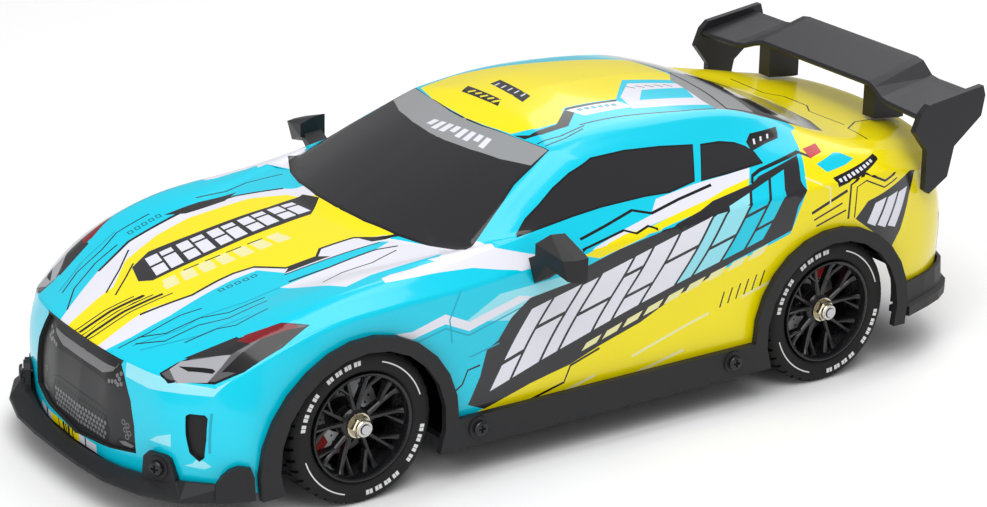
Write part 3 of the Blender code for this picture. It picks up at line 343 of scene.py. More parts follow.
class Chart:
    """A fine grid on which outlines are drawn; its triangles follow every outline."""

    def __init__(self, grid, is_top):
        self.grid, self.is_top = grid, is_top
        self.normals = normals_of(grid)
        self.last = np.array(grid.shape[:2]) - 1
        self.trees = {}

    def sample(self, where, table):
        """Values of a table at grid places, blended from the four nearest points."""
        place = np.clip(where, 0, self.last)
        low = np.minimum(np.floor(place).astype(int), self.last - 1)
        u, v = (place - low).T[..., None]
        i, j = low.T
        near = table[i, j] * (1 - v) + table[i, j + 1] * v
        far = table[i + 1, j] * (1 - v) + table[i + 1, j + 1] * v
        return near * (1 - u) + far * u

    def find(self, flat, view):
        """Grid places under 2-D points of a view; a point beyond the grid goes to its nearest edge."""
        if view not in self.trees:
            dots = np.argwhere(seen(self.grid, view, self.is_top))
            if not len(dots):
                self.trees[view] = None
                return None
            tree = KDTree(len(dots))
            for k, (i, j) in enumerate(dots):
                tree.insert((*(VIEWS[view] @ self.grid[i, j]), 0), k)
            tree.balance()
            self.trees[view] = tree, dots
        if self.trees[view] is None:
            return None
        tree, dots = self.trees[view]
        where = np.array([dots[tree.find((*p, 0))[1]] for p in flat], float)
        for _ in range(4):
            here = self.sample(where, self.grid) @ VIEWS[view].T
            down, across = (
                (self.sample(where + step, self.grid) - self.sample(where - step, self.grid)) @ VIEWS[view].T
                for step in (np.array((0.5, 0)), np.array((0, 0.5)))
            )
            gap = flat - here
            det = down[:, 0] * across[:, 1] - down[:, 1] * across[:, 0]
            det = np.where(np.abs(det) < 0.02, np.inf, det)
            step = np.stack([
                (gap[:, 0] * across[:, 1] - gap[:, 1] * across[:, 0]) / det,
                (gap[:, 1] * down[:, 0] - gap[:, 0] * down[:, 1]) / det,
            ], axis=1)
            where = np.clip(where + np.clip(step, -1, 1), 0, self.last)
        return where

    def outline(self, points, view):
        """A view's closed outline as grid places, with its points on the grid's edges kept to whole steps."""
        flat = []
        for a, b in zip(points, points[1:] + points[:1]):
            count = max(1, math.ceil(math.dist(a, b) / ALONG_EDGE))
            flat += [np.array(a) + (np.array(b) - np.array(a)) * k / count for k in range(count)]
        where = self.find(np.array(flat, float), view)
        if where is None:
            return None
        for axis in (0, 1):
            for edge in (0, self.last[axis]):
                close = np.abs(where[:, axis] - edge) < 0.45
                where[close, axis] = edge
                where[close, 1 - axis] = np.round(where[close, 1 - axis])
        keep = np.abs(where - np.roll(where, 1, axis=0)).max(axis=1) > 0.02
        where = where[keep]
        if len(where) < 3:
            return None
        x, y = where.T
        area = abs((x * np.roll(y, -1) - y * np.roll(x, -1)).sum()) / 2
        return where if area > 0.1 else None

    def paint(self, shapes, base):
        """Triangles of the chart and the paint of each, from (view, paint, outline) rows."""
        drawn = []
        for view, paint, points in shapes:
            where = self.outline([tuple(p) for p in points], view)
            if where is not None:
                drawn.append((paint, where))
        rows, columns = self.last
        dots = [(i, j) for i in range(0, rows + 1) for j in (0, columns)]
        dots += [(i, j) for i in (0, rows) for j in range(1, columns)]
        near_edge = (1, rows - 1), (1, columns - 1)
        inner_rows = sorted({*range(COARSE, rows - 1, COARSE), *near_edge[0]})
        inner_columns = sorted({*range(COARSE, columns - 1, COARSE), *near_edge[1]})
        dots += [(i, j) for i in inner_rows for j in inner_columns]
        edges = []
        for _, where in drawn:
            start, count = len(dots), len(where)
            dots += [tuple(p) for p in where]
            edges += [(start + k, start + (k + 1) % count) for k in range(count)]
        places, _, faces, *_ = delaunay_2d_cdt([Vector(p) for p in dots], edges, [], 0, 1e-3)
        places = np.array([tuple(p) for p in places])
        faces = np.array([f for f in faces if len(f) == 3])
        middles = places[faces].mean(axis=1)
        corners = places[faces]
        first, second = corners[:, 1] - corners[:, 0], corners[:, 2] - corners[:, 0]
        real = np.abs(first[:, 0] * second[:, 1] - first[:, 1] * second[:, 0]) > 1e-5
        faces, middles = faces[real], middles[real]
        colours = base(self.sample(middles, self.grid))
        for paint, where in drawn:
            colours[inside(middles, where)] = paint
        return self.sample(places, self.grid), self.sample(places, self.normals), faces, colours


def welded(parts):
    """Charts joined where their points meet: points, mean normals, triangles and paints."""
    points = np.concatenate([p[0] for p in parts])
    normals = np.concatenate([p[1] for p in parts])
    starts = np.cumsum([0, *(len(p[0]) for p in parts)])
    faces = np.concatenate([p[2] + s for p, s in zip(parts, starts)])
    colours = np.concatenate([p[3] for p in parts])
    cells = np.round(points * WELD_STEPS).astype(int)
    _, first, index = np.unique(cells, axis=0, return_index=True, return_inverse=True)
    index = index.reshape(-1)
    mean = np.zeros((len(first), 3))
    np.add.at(mean, index, normals)
    mean /= np.maximum(np.linalg.norm(mean, axis=1, keepdims=True), 1e-9)
    faces = index[faces]
    whole = (faces[:, 0] != faces[:, 1]) & (faces[:, 1] != faces[:, 2]) & (faces[:, 0] != faces[:, 2])
    return points[first], mean, faces[whole], colours[whole]


def facing_out(points, normals, faces):
    """Triangles turned so that each faces the way its corners' normals do."""
    a, b, c = (points[faces[:, k]] for k in range(3))
    wrong = (np.cross(b - a, c - a) * normals[faces].sum(axis=1)).sum(axis=1) < 0
    faces = faces.copy()
    faces[wrong] = faces[wrong][:, ::-1]
    return faces


def walled(name, points, normals, faces, colours, wall, materials, inner):
    """A surface given a thickness: painted outside, one material inside and along its edges."""
    keep = np.unique(faces)
    place = np.full(len(points), -1)
    place[keep] = np.arange(len(keep))
    points, normals, faces = points[keep], normals[keep], place[faces]
    count = len(points)
    ends = np.concatenate([faces[:, [0, 1]], faces[:, [1, 2]], faces[:, [2, 0]]])
    pair = np.sort(ends, axis=1)
    _, first, uses = np.unique(pair, axis=0, return_index=True, return_counts=True)
    rims = ends[first[uses == 1]]
    every = np.concatenate([points, points - normals * wall])
    quads = [(b, a, a + count, b + count) for a, b in rims]
    polygons = [*map(tuple, faces), *map(tuple, faces[:, ::-1] + count), *quads]
    mesh = bpy.data.meshes.new(name)
    mesh.from_pydata((every * MM).tolist(), [], [[int(v) for v in f] for f in polygons])
    for material in materials:
        mesh.materials.append(material)
    slots = np.concatenate([colours, np.full(len(faces) + len(quads), inner)]).astype(np.int32)
    mesh.polygons.foreach_set("material_index", slots)
    mesh.polygons.foreach_set("use_smooth", np.ones(len(slots), bool))
    directions = np.concatenate([normals, -normals])
    split = [directions[v] for f in polygons[: 2 * len(faces)] for v in f]
    for a, b, c, d in quads:
        flat = np.cross(every[b] - every[a], every[d] - every[a])
        split += [flat / max(np.linalg.norm(flat), 1e-9)] * 4
    mesh.normals_split_custom_set([tuple(map(float, n)) for n in split])
    mesh.update()
    obj = bpy.data.objects.new(name, mesh)
    bpy.context.scene.collection.objects.link(obj)
    return obj


# ---------------------------------------------------------------- livery
HOLE = -1
(
    CYAN, YELLOW, WHITE, CHARCOAL, BLACK, GLASS, PALE, CREAM, SILVER, RED, SHADE, LAMP_CLEAR, LAMP_BRIGHT,
    LAMP_GREY, LAMP_RED, LAMP_BLACK, MESH_DARK, MESH_LIGHT, MESH_GREY, VENT,
) = range(20)
PAINTS = (
    ("cyan", (0.0, 0.57, 0.75), 0.22), ("yellow", (0.88, 0.74, 0.0), 0.22),
    ("white", (0.74, 0.74, 0.82), 0.22), ("charcoal", (0.020, 0.020, 0.024), 0.25),
    ("black", (0.008, 0.008, 0.009), 0.25), ("glass", (0.020, 0.019, 0.022), 0.12),
    ("pale", (0.28, 0.72, 0.82), 0.22), ("cream", (0.80, 0.76, 0.38), 0.25),
    ("silver", (0.28, 0.29, 0.30), 0.2), ("red", (0.5, 0.02, 0.03), 0.25), ("shade", (0.0, 0.34, 0.48), 0.3),
    ("lamp_clear", (0.10, 0.10, 0.105), 0.12), ("lamp_bright", (0.36, 0.36, 0.39), 0.12),
    ("lamp_grey", (0.022, 0.022, 0.025), 0.15), ("lamp_red", (0.20, 0.010, 0.016), 0.15),
    ("lamp_black", (0.008, 0.008, 0.009), 0.15), ("mesh_dark", (0.003, 0.003, 0.0035), 0.4),
    ("mesh_light", (0.16, 0.16, 0.165), 0.3), ("mesh_grey", (0.016, 0.016, 0.018), 0.35),
    ("vent", (0.008, 0.008, 0.009), 0.5),
)
LAMP_PAINTS = (LAMP_CLEAR, LAMP_BRIGHT, LAMP_GREY, LAMP_RED, LAMP_BLACK)
MESH_PAINTS = (MESH_DARK, MESH_LIGHT, MESH_GREY)


class View:
    """Outlines drawn as seen from one direction; a later one covers the ones before it."""

    def __init__(self, name):
        self.name, self.shapes = name, []

    def area(self, paint, *outlines):
        """Closed outlines filled with a paint."""
        self.shapes += [(self.name, paint, outline) for outline in outlines]

    def line(self, paint, width, *paths):
        """Lines of that width, drawn as closed outlines."""
        for path in paths:
            path = np.array(path, float)
            along = np.gradient(path, axis=0)
            along /= np.maximum(np.linalg.norm(along, axis=1, keepdims=True), 1e-9)
            across = np.stack([-along[:, 1], along[:, 0]], axis=1) * width / 2
            self.area(paint, [tuple(p) for p in np.concatenate([path + across, (path - across)[::-1]])])

    def blocks(self, low, high, pieces):
        """Slanted blocks between two edges: (start, end, bottom, top, paint) in shares of the band."""
        low, high = np.array(low), np.array(high)

        def place(u, v):
            foot, head = low[0] + (low[1] - low[0]) * u, high[0] + (high[1] - high[0]) * u
            return tuple(foot + (head - foot) * v)

        for a, b, foot, head, paint in pieces:
            self.area(paint, [place(a, foot), place(b, foot), place(b, head), place(a, head)])

    def tiles(self, start, end, count, size, line):
        """A row of small hollow squares between two points."""
        start, end, half = np.array(start), np.array(end), size / 2
        for k in range(count):
            x, y = start + (end - start) * k / (count - 1)
            box = [(x - half, y - half), (x + half, y - half), (x + half, y + half), (x - half, y + half)]
            self.area(BLACK, box)
            self.area(CYAN, grown(box, -line))


SIDE_GLASS = at(29.5,69.9, 21,70.9, 8.5,72.2, -2,73, -19,73.3, -28,73, -38.5,74.4, -43.5,82.6, -31,84,
    -17.5,85, -4.5,84.9, 4.5,82.2, 11.5,79.2, 18,75.7, 24,72.8)
QUARTER_GLASS = at(-41.5,74, -51,74.6, -58,75, -66,75.5, -65,77.5, -63,79, -60,80.3, -54.5,81.4, -47,82)
WINDSCREEN = both(at(12.4,0, 12,9, 10,24, 7,37, 13.6,38.3, 21.5,40, 28,43, 37,46.6, 45,50.2, 50.5,39.5,
    54,28.5, 56.5,14, 57.2,0))
SUNSTRIP = both(at(12.2,0, 11.6,9, 9.2,24, 6.5,37, 13.6,38.3, 18,28, 20.8,16, 22.2,4))
REAR_GLASS = both(at(-68,0, -67.5,12, -66.5,24, -64.5,34.5, -76,36.8, -86,38, -101,37.4, -107,24, -110,0))


def side_shapes():
    """The flank: cyan front, yellow rear and sill, a charcoal band of slanted blocks, and fine lines."""
    side = View("side")
    side.area(YELLOW, at(50,10, 48,20, 28,25, 13,29, -10,35, -30,42, -52,49, -70,54, -76,66, -81,75, -84,80,
        -160,84, -160,10))
    side.area(WHITE, at(86,70, 75.5,64.2, 58,64.4, 47,64.2, 38,62.6, 25,60.6, 12,58.8, 12,62, 25,64.5,
        45,70, 70,74))
    side.area(PALE, at(52,50, 40,56, 12,57, -6,61, -22,63.4, -8,57.6, 11,52.4, 28,50.6, 36,46.6))
    side.area(WHITE, at(9,62.4, -7.5,66.2, -18.5,68.2, -22.5,71.8, -38,73.4, -52,74, -60.5,74.6, -58.5,72.2,
        -48.5,70.8, -41,69.2, -24.5,66.8, -7,64.4, 3,62.8))
    side.area(YELLOW, at(9.5,61.8, -7,65, -16.5,65.4, -24.5,66.8, -41,69.2, -48.5,70.8, -58.5,72.2,
        -57,70.6, -43,68.2, -36,66.6, -19.5,64.4, -8,62, 3.5,59.8))
    side.line(BLACK, 0.7, at(9,66, -1.5,68, -12.5,70.3, -19,68.6, -30.5,70.6, -44,72.4))
    side.line(BLACK, 0.6, at(9.5,63.4, -7,66, -11,64.6, -16,65.8, -19,64.6))
    side.area(WHITE, at(77,51, 71,50.6, 59.5,53.6, 51,49.6, 33,54, 28,52.6, 33,51.4, 51,46.6, 59.5,50.6,
        71,48.2))
    side.line(SHADE, 0.5, at(77,47.6, 70,46.8, 59.5,49.2, 51,45.2, 32,50))
    side.area(CHARCOAL, at(51,23, 46.5,31, 44,39, 40,41, 35.5,47.5, 29,52.4, 11.5,54.6, 9.5,58, -4,61.2,
        -19.5,63.6, -36,66.8, -42,68.6, -58.5,70.8, -62,72.2, -79.5,75.4, -76,69.5, -76,66, -73,62.5,
        -70.5,55, -48.5,49, -36,43.6, -27,41, -13.5,35.2, 2,31, 13,27.4, 28,24.6, 45,20.4))
    blocks, start = [], 0.0
    for wide, split in ((0.07, 0.34), (0.095, 0.62), (0.055, 1.0), (0.11, 0.45), (0.06, 0.74), (0.09, 0.3),
            (0.115, 0.58), (0.05, 1.0), (0.09, 0.4), (0.075, 0.66), (0.06, 0.28)):
        paint = WHITE if start < 0.56 else PALE if start < 0.76 else CYAN
        blocks.append((start, start + wide, 0.0, split - 0.03, paint))
        if split < 1:
            blocks.append((start, start + wide, split + 0.03, 1.0, paint))
        start += wide + 0.012
    side.blocks(at(43,25.5, -60,54.5), at(28,48.5, -73,73), blocks)
    side.blocks(at(40,22, -64,50.6), at(38,24, -66,53.6), [(0.30 + 0.075 * k, 0.355 + 0.075 * k, 0.0, 1.0,
        CREAM) for k in range(9)])
    side.area(YELLOW, at(46.5,19.6, 28,22.6, 14.5,26.4, 14,25.2, 16,21.6, 32,18.6, 45,15.6))
    side.line(BLACK, 0.7, at(40,16.8, 15.6,22.2, 13,27, 2,30.2))
    side.line(BLACK, 0.6, at(55.5,28.5, 53,30, 51,34, 46.5,34.6))
    side.line(SHADE, 0.5, at(50.5,38, 39.5,40), at(54,59.5, 58,51.5, 57,44))
    side.area(BLACK, at(-64.5,80.3, -67.5,82, -79,82, -78,80.6, -77,79.6, -71,79, -64.5,78))
    side.area(WHITE,
        at(-67.5,80.6, -68.3,80.6, -67.5,79.4, -66.7,79.4),
        at(-70.5,80.8, -71.3,80.8, -70.5,79.8, -69.7,79.8),
        at(-73.5,81, -74.3,81, -73.5,80, -72.7,80),
    )
    side.line(BLACK, 0.8, at(-58.5,70.8, -60,72.6, -63.5,73.6, -80.5,76, -84,74.4))
    side.area(RED, at(-83,76.4, -89.5,76.8, -89,75, -83.5,74.2))
    side.area(CYAN, at(-84.5,72.6, -93,74.4, -95.5,74, -99.5,72, -95,71, -87,70.2))
    side.area(BLACK, at(-88,68.6, -109,71.5, -110.5,70, -89.5,65.6))
    side.blocks(at(-89.5,66.6, -109,70.2), at(-89,68, -108.4,71), [(0.04 + 0.1 * k, 0.10 + 0.1 * k, 0.1,
        0.9, WHITE) for k in range(9)])
    side.line(BLACK, 0.8, at(-93.5,54.5, -94.5,65.6, -101,68, -109.5,64, -117,65.5))
    side.line(BLACK, 0.5, at(-96,54.5, -97,64.4, -101,65.8, -109,62, -116,63.4))
    side.line(BLACK, 1.0, at(-78.5,59, -93,64))
    side.line(BLACK, 0.6, at(-79.5,56.6, -91,60.2), at(-80.5,54.4, -92.5,57.6))
    side.line(CREAM, 0.6, at(-78,70, -86,66, -86,60))
    side.area(CHARCOAL, at(-96.5,54, -101.5,59, -128.5,64.4, -122.5,56, -117.5,46, -113,40.5, -104,48.4))
    side.blocks(at(-101,51.5, -114,44.5), at(-104.5,58, -125,62), [(0.02, 0.28, 0.05, 0.95, WHITE), (0.34,
        0.6, 0.1, 0.9, WHITE), (0.66, 0.92, 0.15, 0.85, WHITE)])
    side.line(CREAM, 0.8,
        at(50,14, 30,18),
        at(26,17, 4,22),
        at(-10,25, -40,33),
        at(-4,18, -30,23),
        at(-52,36, -66,40),
    )
    for k in range(6):
        side.line(BLACK, 0.5, [(-44 - 3 * k, 34 + 0.9 * k), (-45.6 - 3 * k, 39 + 0.9 * k)])
    side.area(BLACK, grown(SIDE_GLASS, 0.5))
    side.area(GLASS, SIDE_GLASS)
    side.area(BLACK, grown(QUARTER_GLASS, 0.6))
    side.area(GLASS, QUARTER_GLASS)
    return side.shapes


def top_shapes():
    """Bonnet, roof and tail, seen from above."""
    wedge = at(133,2, 128,8, 116,12.5, 107,11.5, 101.5,11.5, 95.5,13, 89.5,21.5, 79.5,22.5, 76,18.6,
        64.5,19, 57.5,24.5, 54,29, 57.4,0, 56,-12, 62,-24, 72,-30, 92,-33, 104,-31, 118,-25, 128,-14, 133,-6)
    top = View("top")
    top.area(WHITE,
        at(56.5,28.5, 52.5,37, 46.5,49, 52,48, 62,47.6, 76,47.4, 86,49.5, 97,31, 80.5,32, 64.5,31.5),
        at(146,14, 138,16, 126,17, 112,15.5, 104,15, 96,16, 91,25, 78,26.4, 60,27.4, 57,30, 56,20, 57.4,0,
            146,0),
        at(146,-14, 136,-21, 124,-29, 108,-35.5, 92,-37, 72,-35, 60,-29, 55,-24, 57.4,0, 146,0),
    )
    top.area(YELLOW, wedge, at(146,10, 133,8, 128,8, 128,-14, 133,-13, 146,-9))
    top.area(CHARCOAL, at(122,-9.5, 119,-19, 111,-23.5, 96.5,-21.8, 81.5,-20.6, 71,-19.6, 58.6,-20,
        57.5,-12, 64.5,-5.4, 75,-5.2, 86.5,-5.8, 102.5,-5.6, 119,-6))
    blocks = []
    for k in range(5):
        start = 0.02 + 0.195 * k
        blocks += [
            (start, start + 0.075, 0.0, 0.44, WHITE), (start, start + 0.075, 0.54, 1.0, WHITE),
            (start + 0.09, start + 0.165, 0.0, 0.66, WHITE), (start + 0.09, start + 0.165, 0.76, 1.0, WHITE),
        ]
    top.blocks(at(118,-7.6, 61,-8), at(115,-20.4, 62,-17.6), blocks)
    top.blocks(at(120,2.4, 76,5.8), at(118,-3.6, 77,-1.2), [(0.02 + 0.14 * k, 0.12 + 0.14 * k, 0.0, 1.0,
        CREAM) for k in range(7)])
    top.line(BLACK, 1.1, at(131,8, 116,12.6, 107,11.6, 101.5,11.6, 95.5,13.2, 89.5,21.8, 79.5,22.7, 76,18.8,
        64.5,19.2, 54.5,28.5))
    top.area(CHARCOAL, at(91.5,24.4, 88,21.4, 79.5,22.4, 76.5,25.6))
    top.area(BLACK, at(64,19.4, 57.5,24.8, 55,28, 62,25.6))
    top.line(BLACK, 0.8, at(93.5,30, 80.5,31.6, 64.5,31.4, 58,33.6))
    top.line(BLACK, 0.6, at(92,25.2, 77,26.6, 60.5,27.6))
    top.line(BLACK, 1.0, at(126,-27.5, 112,-34.6, 92,-37.4, 74,-35.4, 60,-29.4))
    top.area(CHARCOAL, at(97,-39.4, 84.5,-39.4, 72,-37.6, 78,-34.6, 91,-36))
    top.line(BLACK, 0.6, at(114,-30.5, 122,-21.5, 131,-13), at(117.5,-21, 123,-15.4, 130,-9))
    top.line(SHADE, 0.5, at(140,20, 128,26, 120,26, 108,30, 97,31))
    top.line(BLACK, 0.5, at(143,17, 134,19, 124,19.6, 118,22))
    top.line(SHADE, 0.5, at(139.5,24, 126,34, 112,39), at(138,-30, 126,-38, 112,-43))
    top.tiles((109, 17.6), (98.5, 18.4), 5, 1.7, 0.4)
    top.tiles((109, -38.6), (98.5, -40), 5, 1.7, 0.4)
    for k in range(4):
        top.line(BLACK, 0.6, [(110 - 7 * k, -3.4 + 0.5 * k), (105 - 7 * k, -3.0 + 0.5 * k)])
    for k in range(5):
        top.line(BLACK, 0.6 + 0.7 * (k % 2), [(145.6, -4 + 2.1 * k), (136 - k, -4.6 + 2.1 * k),
            (127 - 2 * k, -3 + 2.3 * k)])
    top.line(BLACK, 0.5,
        at(139,20, 133,27, 123,29, 116,34, 104,35.5),
        at(137,18, 131,24, 121,26, 114,31, 103,32.4),
        at(130,33, 121,36, 117,40, 107,41),
        at(142,-17, 135,-26, 124,-33, 115,-36),
        at(138,-28, 130,-34, 119,-38, 112,-42, 100,-43),
        at(88,40, 80,37.4, 70,38.4, 60,36),
        at(84,-42, 74,-40.6, 66,-42, 54,-40),
    )
    top.area(YELLOW, at(11.5,0, 10.8,10, 9,21, 2,25.6, -5.5,26, -12.5,18.6, -31.5,20, -45,5, -62,9, -66,4,
        -66,-20, -40,-27, -7,-35, 6,-34, 10,-20))
    top.area(BLACK, at(9,22.4, 6,26.5, -4,26.6, -10,21.5, -13,19, -31.5,20.5, -29,22.6, -15,21.6, -6.5,29.4,
        3,29.2, 8,27))
    top.area(WHITE,
        at(-12,20.4, -31,21.6, -33,27, -15,26.4),
        at(-34,19, -44.5,8.6, -61,12.4, -63,28, -60,31.5, -32,28),
    )
    top.area(CYAN, at(-38.5,23, -45,15.5, -61,17, -58.5,25.5))
    top.line(BLACK, 0.6, at(-10,30.5, -24.5,31.5, -46,34, -60,34.6))
    top.line(BLACK, 0.5, at(7,32, -1,33, -11,31.6), at(6,35, -1.5,34.8, -9.5,33))
    top.area(BLACK, at(2.5,-16, -1.8,-18.6, -1.4,0.5, 2.2,4), at(-7.5,-14.5, -12,-15.5, -9.8,4.5, -5,7))
    top.area(SILVER, at(-61.5,9, -59.5,28, -60,34.8, -76,37, -80,30, -79,18, -79,0, -68,0))
    top.area(BLACK, grown(REAR_GLASS, 1.0))
    top.area(GLASS, REAR_GLASS)
    top.area(SILVER, both(at(-68,0, -67.5,12, -66.5,24, -64.6,34.4, -74,36.2, -76,24, -76.5,0)))
    top.area(BLACK, grown(WINDSCREEN, 0.9))
    top.area(GLASS, WINDSCREEN)
    top.area(SILVER, SUNSTRIP)
    top.area(YELLOW, at(-110,-60, -110,60, -160,60, -160,-60))
    top.line(BLACK, 0.6,
        at(-118,30, -118,12, -122,6, -122,-6, -118,-12, -118,-30),
        at(-114,46, -116,34, -124,28, -140,26),
    )
    top.tiles((-16, 22.2), (-28, 23.6), 6, 1.5, 0.35)
    for k in range(5):
        top.line(YELLOW, 1.2, [(1.6 - 0.5 * (k % 2), -13.6 + 3.4 * k), (-0.6, -12.4 + 3.4 * k)])
        top.line(WHITE, 0.7, [(-7.4, -11.8 + 3.6 * k), (-9.8, -12.6 + 3.6 * k)])
        top.line(BLACK, 0.5, [(-42 - 3.4 * k, 11 + 0.4 * k), (-44 - 3.4 * k, 13.4 + 0.4 * k)])
    top.blocks(at(20.6,-12, 18,24), at(16.8,-11, 13.6,22), [(0.04 + 0.11 * k, 0.11 + 0.11 * k,
        0.0 if k % 3 else 0.3, 1.0, WHITE) for k in range(8)])
    return top.shapes


def nose_shapes():
    """Front end below the bonnet: grille, lamps, bumper vents and the striped lip."""
    whole = at(0,44.2, 22.5,44, 25,40.5, 29,34, 30.8,27, 31.3,18.4, 20,16.6, 0,14.4)
    across = (-1, 1)
    front = View("front")
    front.area(PALE, at(24,48, 25.6,40.4, 36,39.7, 44,40.6, 53,40.8, 55,45.5, 50,48, 40,50))
    front.area(SHADE, at(53.6,36, 53,36, 53.4,24, 54,24))
    front.area(BLACK, at(-23,43, 23,43, 24,45.2, 18,45.2, 18,46.4, 10,46.4, 10,45.4, 2,45.4, 2,46.8,
        -6,46.8, -6,45.4, -14,45.4, -14,46.2, -20,46.2, -20,45, -24,45))
    front.area(PALE,
        at(37,24.5, 40,26.6, 44.6,28.4, 44.6,24.5),
        at(48,19.5, 50,20.5, 51,22, 52.5,21.5, 54,20, 52.5,19, 49.5,19.3),
    )
    edges = (-27, -21.5, -20, -17, -12, -11.4, -9, -7.7, -7, -6.2, -5.4, -4, -2.2, -1.5, 2.2, 5.5, 6.2, 12.2)
    stripes = (WHITE, BLACK, WHITE, *(YELLOW, BLACK) * 5, YELLOW, WHITE, BLACK, WHITE)
    for start, end, paint in zip(edges, edges[1:], stripes):
        front.area(paint, [(start, 14.7), (end, 14.7), (end, 10.5), (start, 10.5)])
    front.area(MESH_GREY, both(whole, across))
    front.area(MESH_DARK, both(at(22,43.4, 24.4,38.6, 18,35.4, 0,36), across))
    front.area(MESH_LIGHT, both(at(12,40.4, 19.4,41, 20.4,43, 18,39.6, 12.4,37.4), across))
    front.area(MESH_DARK, both(at(0,28, 14,27.4, 19,25.6, 14,26.8, 0,27.2), across),
        both(at(0,26.6, 16.4,26, 18.6,21, 17.6,17, 0,16.2), across))
    for row in range(6):
        for k in range(-9, 10):
            y, z = 1.85 * k + 0.92 * (row % 2), 17.9 + 1.6 * row
            if abs(y) < 16.6:
                front.area(MESH_LIGHT if row < 4 else MESH_GREY, circle((y, z), 0.72, 6))
    for side in (1, -1):
        for y, z in ((20, 37), (21.6, 38.2), (21.2, 36.4), (22.6, 37), (20.4, 39), (22, 40), (18.4, 36.6),
                (16.8, 36.2)):
            front.area(MESH_LIGHT, circle((side * y, z), 0.75, 6))
        for y, z in ((24.6, 25.8), (26.4, 25.2), (25.4, 23.6), (27.2, 23), (26.2, 21.6)):
            front.area(MESH_LIGHT, circle((side * y, z), 0.95, 6))
            front.area(MESH_GREY, circle((side * y, z), 0.6, 6))
        front.area(MESH_DARK, turned(at(20.5,17.6, 23,20.4, 29.6,20.6, 30.8,18.8, 25,17.5), side))
        front.area(MESH_LIGHT, turned(at(22.6,19.3, 25.4,20, 29,19.6, 28,18.6, 24.4,18.5), side))
        front.area(VENT, turned(at(47.9,34.6, 48.8,35.3, 52,35.3, 52.7,34.4, 52.9,28, 52.6,22.5, 51.5,21.2,
            49.4,23.6, 48.4,29), side))
    return front.shapes


def lamp_shapes():
    """The headlamp's cells, given as points of the surface."""
    cells = (
        (LAMP_BLACK, HEADLIGHT),
        (LAMP_CLEAR, HEADLIGHT),
        (LAMP_BRIGHT, spots(138,38.6,45.4, 134.5,39,47.2, 124.5,50,51, 128,50.5,48, 132.5,50.5,44.4,
            139,44,43.4)),
        (LAMP_GREY, spots(133.5,38.8,48, 120,45.4,54, 119,51.5,53.5, 124.5,50,51, 132.5,40.8,48.4)),
        (LAMP_BLACK, spots(136,40,46.5, 130,49,47.5, 129.5,50,47, 130.5,50,46.5, 135,44,46)),
        (LAMP_RED, spots(121,47.4,53.5, 118,47,54.6, 109.5,51.8,58, 106.5,54,58, 105.5,56,57.6,
            110.5,54.4,56.5, 119,51,53.5)),
        (LAMP_BLACK, spots(128.5,51.5,47, 122.5,51.5,51, 116,52.5,55, 108,55,57, 104.5,57,57.8,
            106.5,57.5,56.5, 112.5,57.5,54, 121,56.5,50, 125.5,55,47.5, 127,52.5,47)),
    )
    flat = VIEWS["lamp"].T
    found = [("lamp", paint, [tuple(p) for p in np.array(points) @ flat]) for paint, points in cells]
    found[1] = (*found[1][:2], grown(found[1][2], -0.8))
    return found


def tail_shapes():
    """Rear end: slanted tail lamps, plate recess and lines."""
    rear = View("rear")
    rear.area(BLACK, at(-44,63, 44,63, 46,49, 30,47, -30,47, -46,49))
    rear.area(CHARCOAL, at(-24,45, 24,45, 22,33, -22,33))
    rear.area(SILVER, at(-20,43, 20,43, 18.6,35, -18.6,35))
    for side in (1, -1):
        for y in (41.5, 34.5, 27.5):
            rear.area(RED, [(side * (y + dy), z) for dy, z in ((-3.6, 50.5), (1.6, 50.5), (3.4, 59.5),
                (-1.8, 59.5))])
            rear.area(SILVER, [(side * (y + dy), z) for dy, z in ((-2.6, 53), (1.0, 53), (1.4, 55), (-2.2,
                55))])
        rear.area(BLACK, turned(at(50,44, 36,40, 36,32, 50,30), side))
        rear.area(CREAM, turned(at(46,42, 30,46, 30,45, 46,41), side))
    return rear.shapes


def base_paint(points):
    """Cyan ahead of the rear wheels, yellow behind them."""
    x, z = points[:, 0], points[:, 2]
    edge, lean, waist = -84, 0.2, 70
    return np.where((x < edge) & (x < edge - lean * (z - waist)), YELLOW, CYAN)


def flipped(shapes):
    """Shapes of the right side brought onto the left chart."""
    turns = {"top": (1, -1), "front": (-1, 1), "rear": (-1, 1)}
    found = []
    for view, paint, points in shapes:
        u, v = turns.get(view, (1, 1))
        found.append((view, paint, [(x * u, y * v) for x, y in points]))
    return found


def arch(x):
    """A wheel opening; the front one spreads forward towards its foot."""
    spread = 3.6 if x > 0 else 0
    top, height = ARCH_Z + 26, 31
    outline = circle((x, ARCH_Z), ARCH_R, 72)
    return [(u + spread * max(0, (top - z) / height) * (u > x), z) for u, z in outline]


def painted_body():
    """Both halves of the body surface: points, normals, triangles and paints."""
    sheet, band = fine_surface()
    holes = [("side", HOLE, arch(x)) for x in (AXLE_X, -AXLE_X)]
    shapes = [*side_shapes(), *top_shapes(), *tail_shapes(), *nose_shapes(), *lamp_shapes(), *holes]
    parts = []
    for is_top, grid in ((True, sheet), (False, band)):
        chart = Chart(grid, is_top)
        for side in (1, -1):
            points, normals, faces, colours = chart.paint(shapes if side > 0 else flipped(shapes), base_paint)
            turn = np.array((1, side, 1))
            parts.append((points * turn, normals * turn, faces, colours))
    points, normals, faces, colours = welded(parts)
    return points, normals, facing_out(points, normals, faces), colours


def palette():
    """One material for each paint, clear-coated except for the grille and vent paints."""
    made = []
    for name, colour, rough in PAINTS:
        material = plain("paint_" + name, colour, rough)
        shader = material.node_tree.nodes["Principled BSDF"]
        shader.inputs["Coat Weight"].default_value = 0.0 if name.startswith(("mesh", "vent")) else 0.35
        shader.inputs["Coat Roughness"].default_value = 0.05
        made.append(material)
    return made


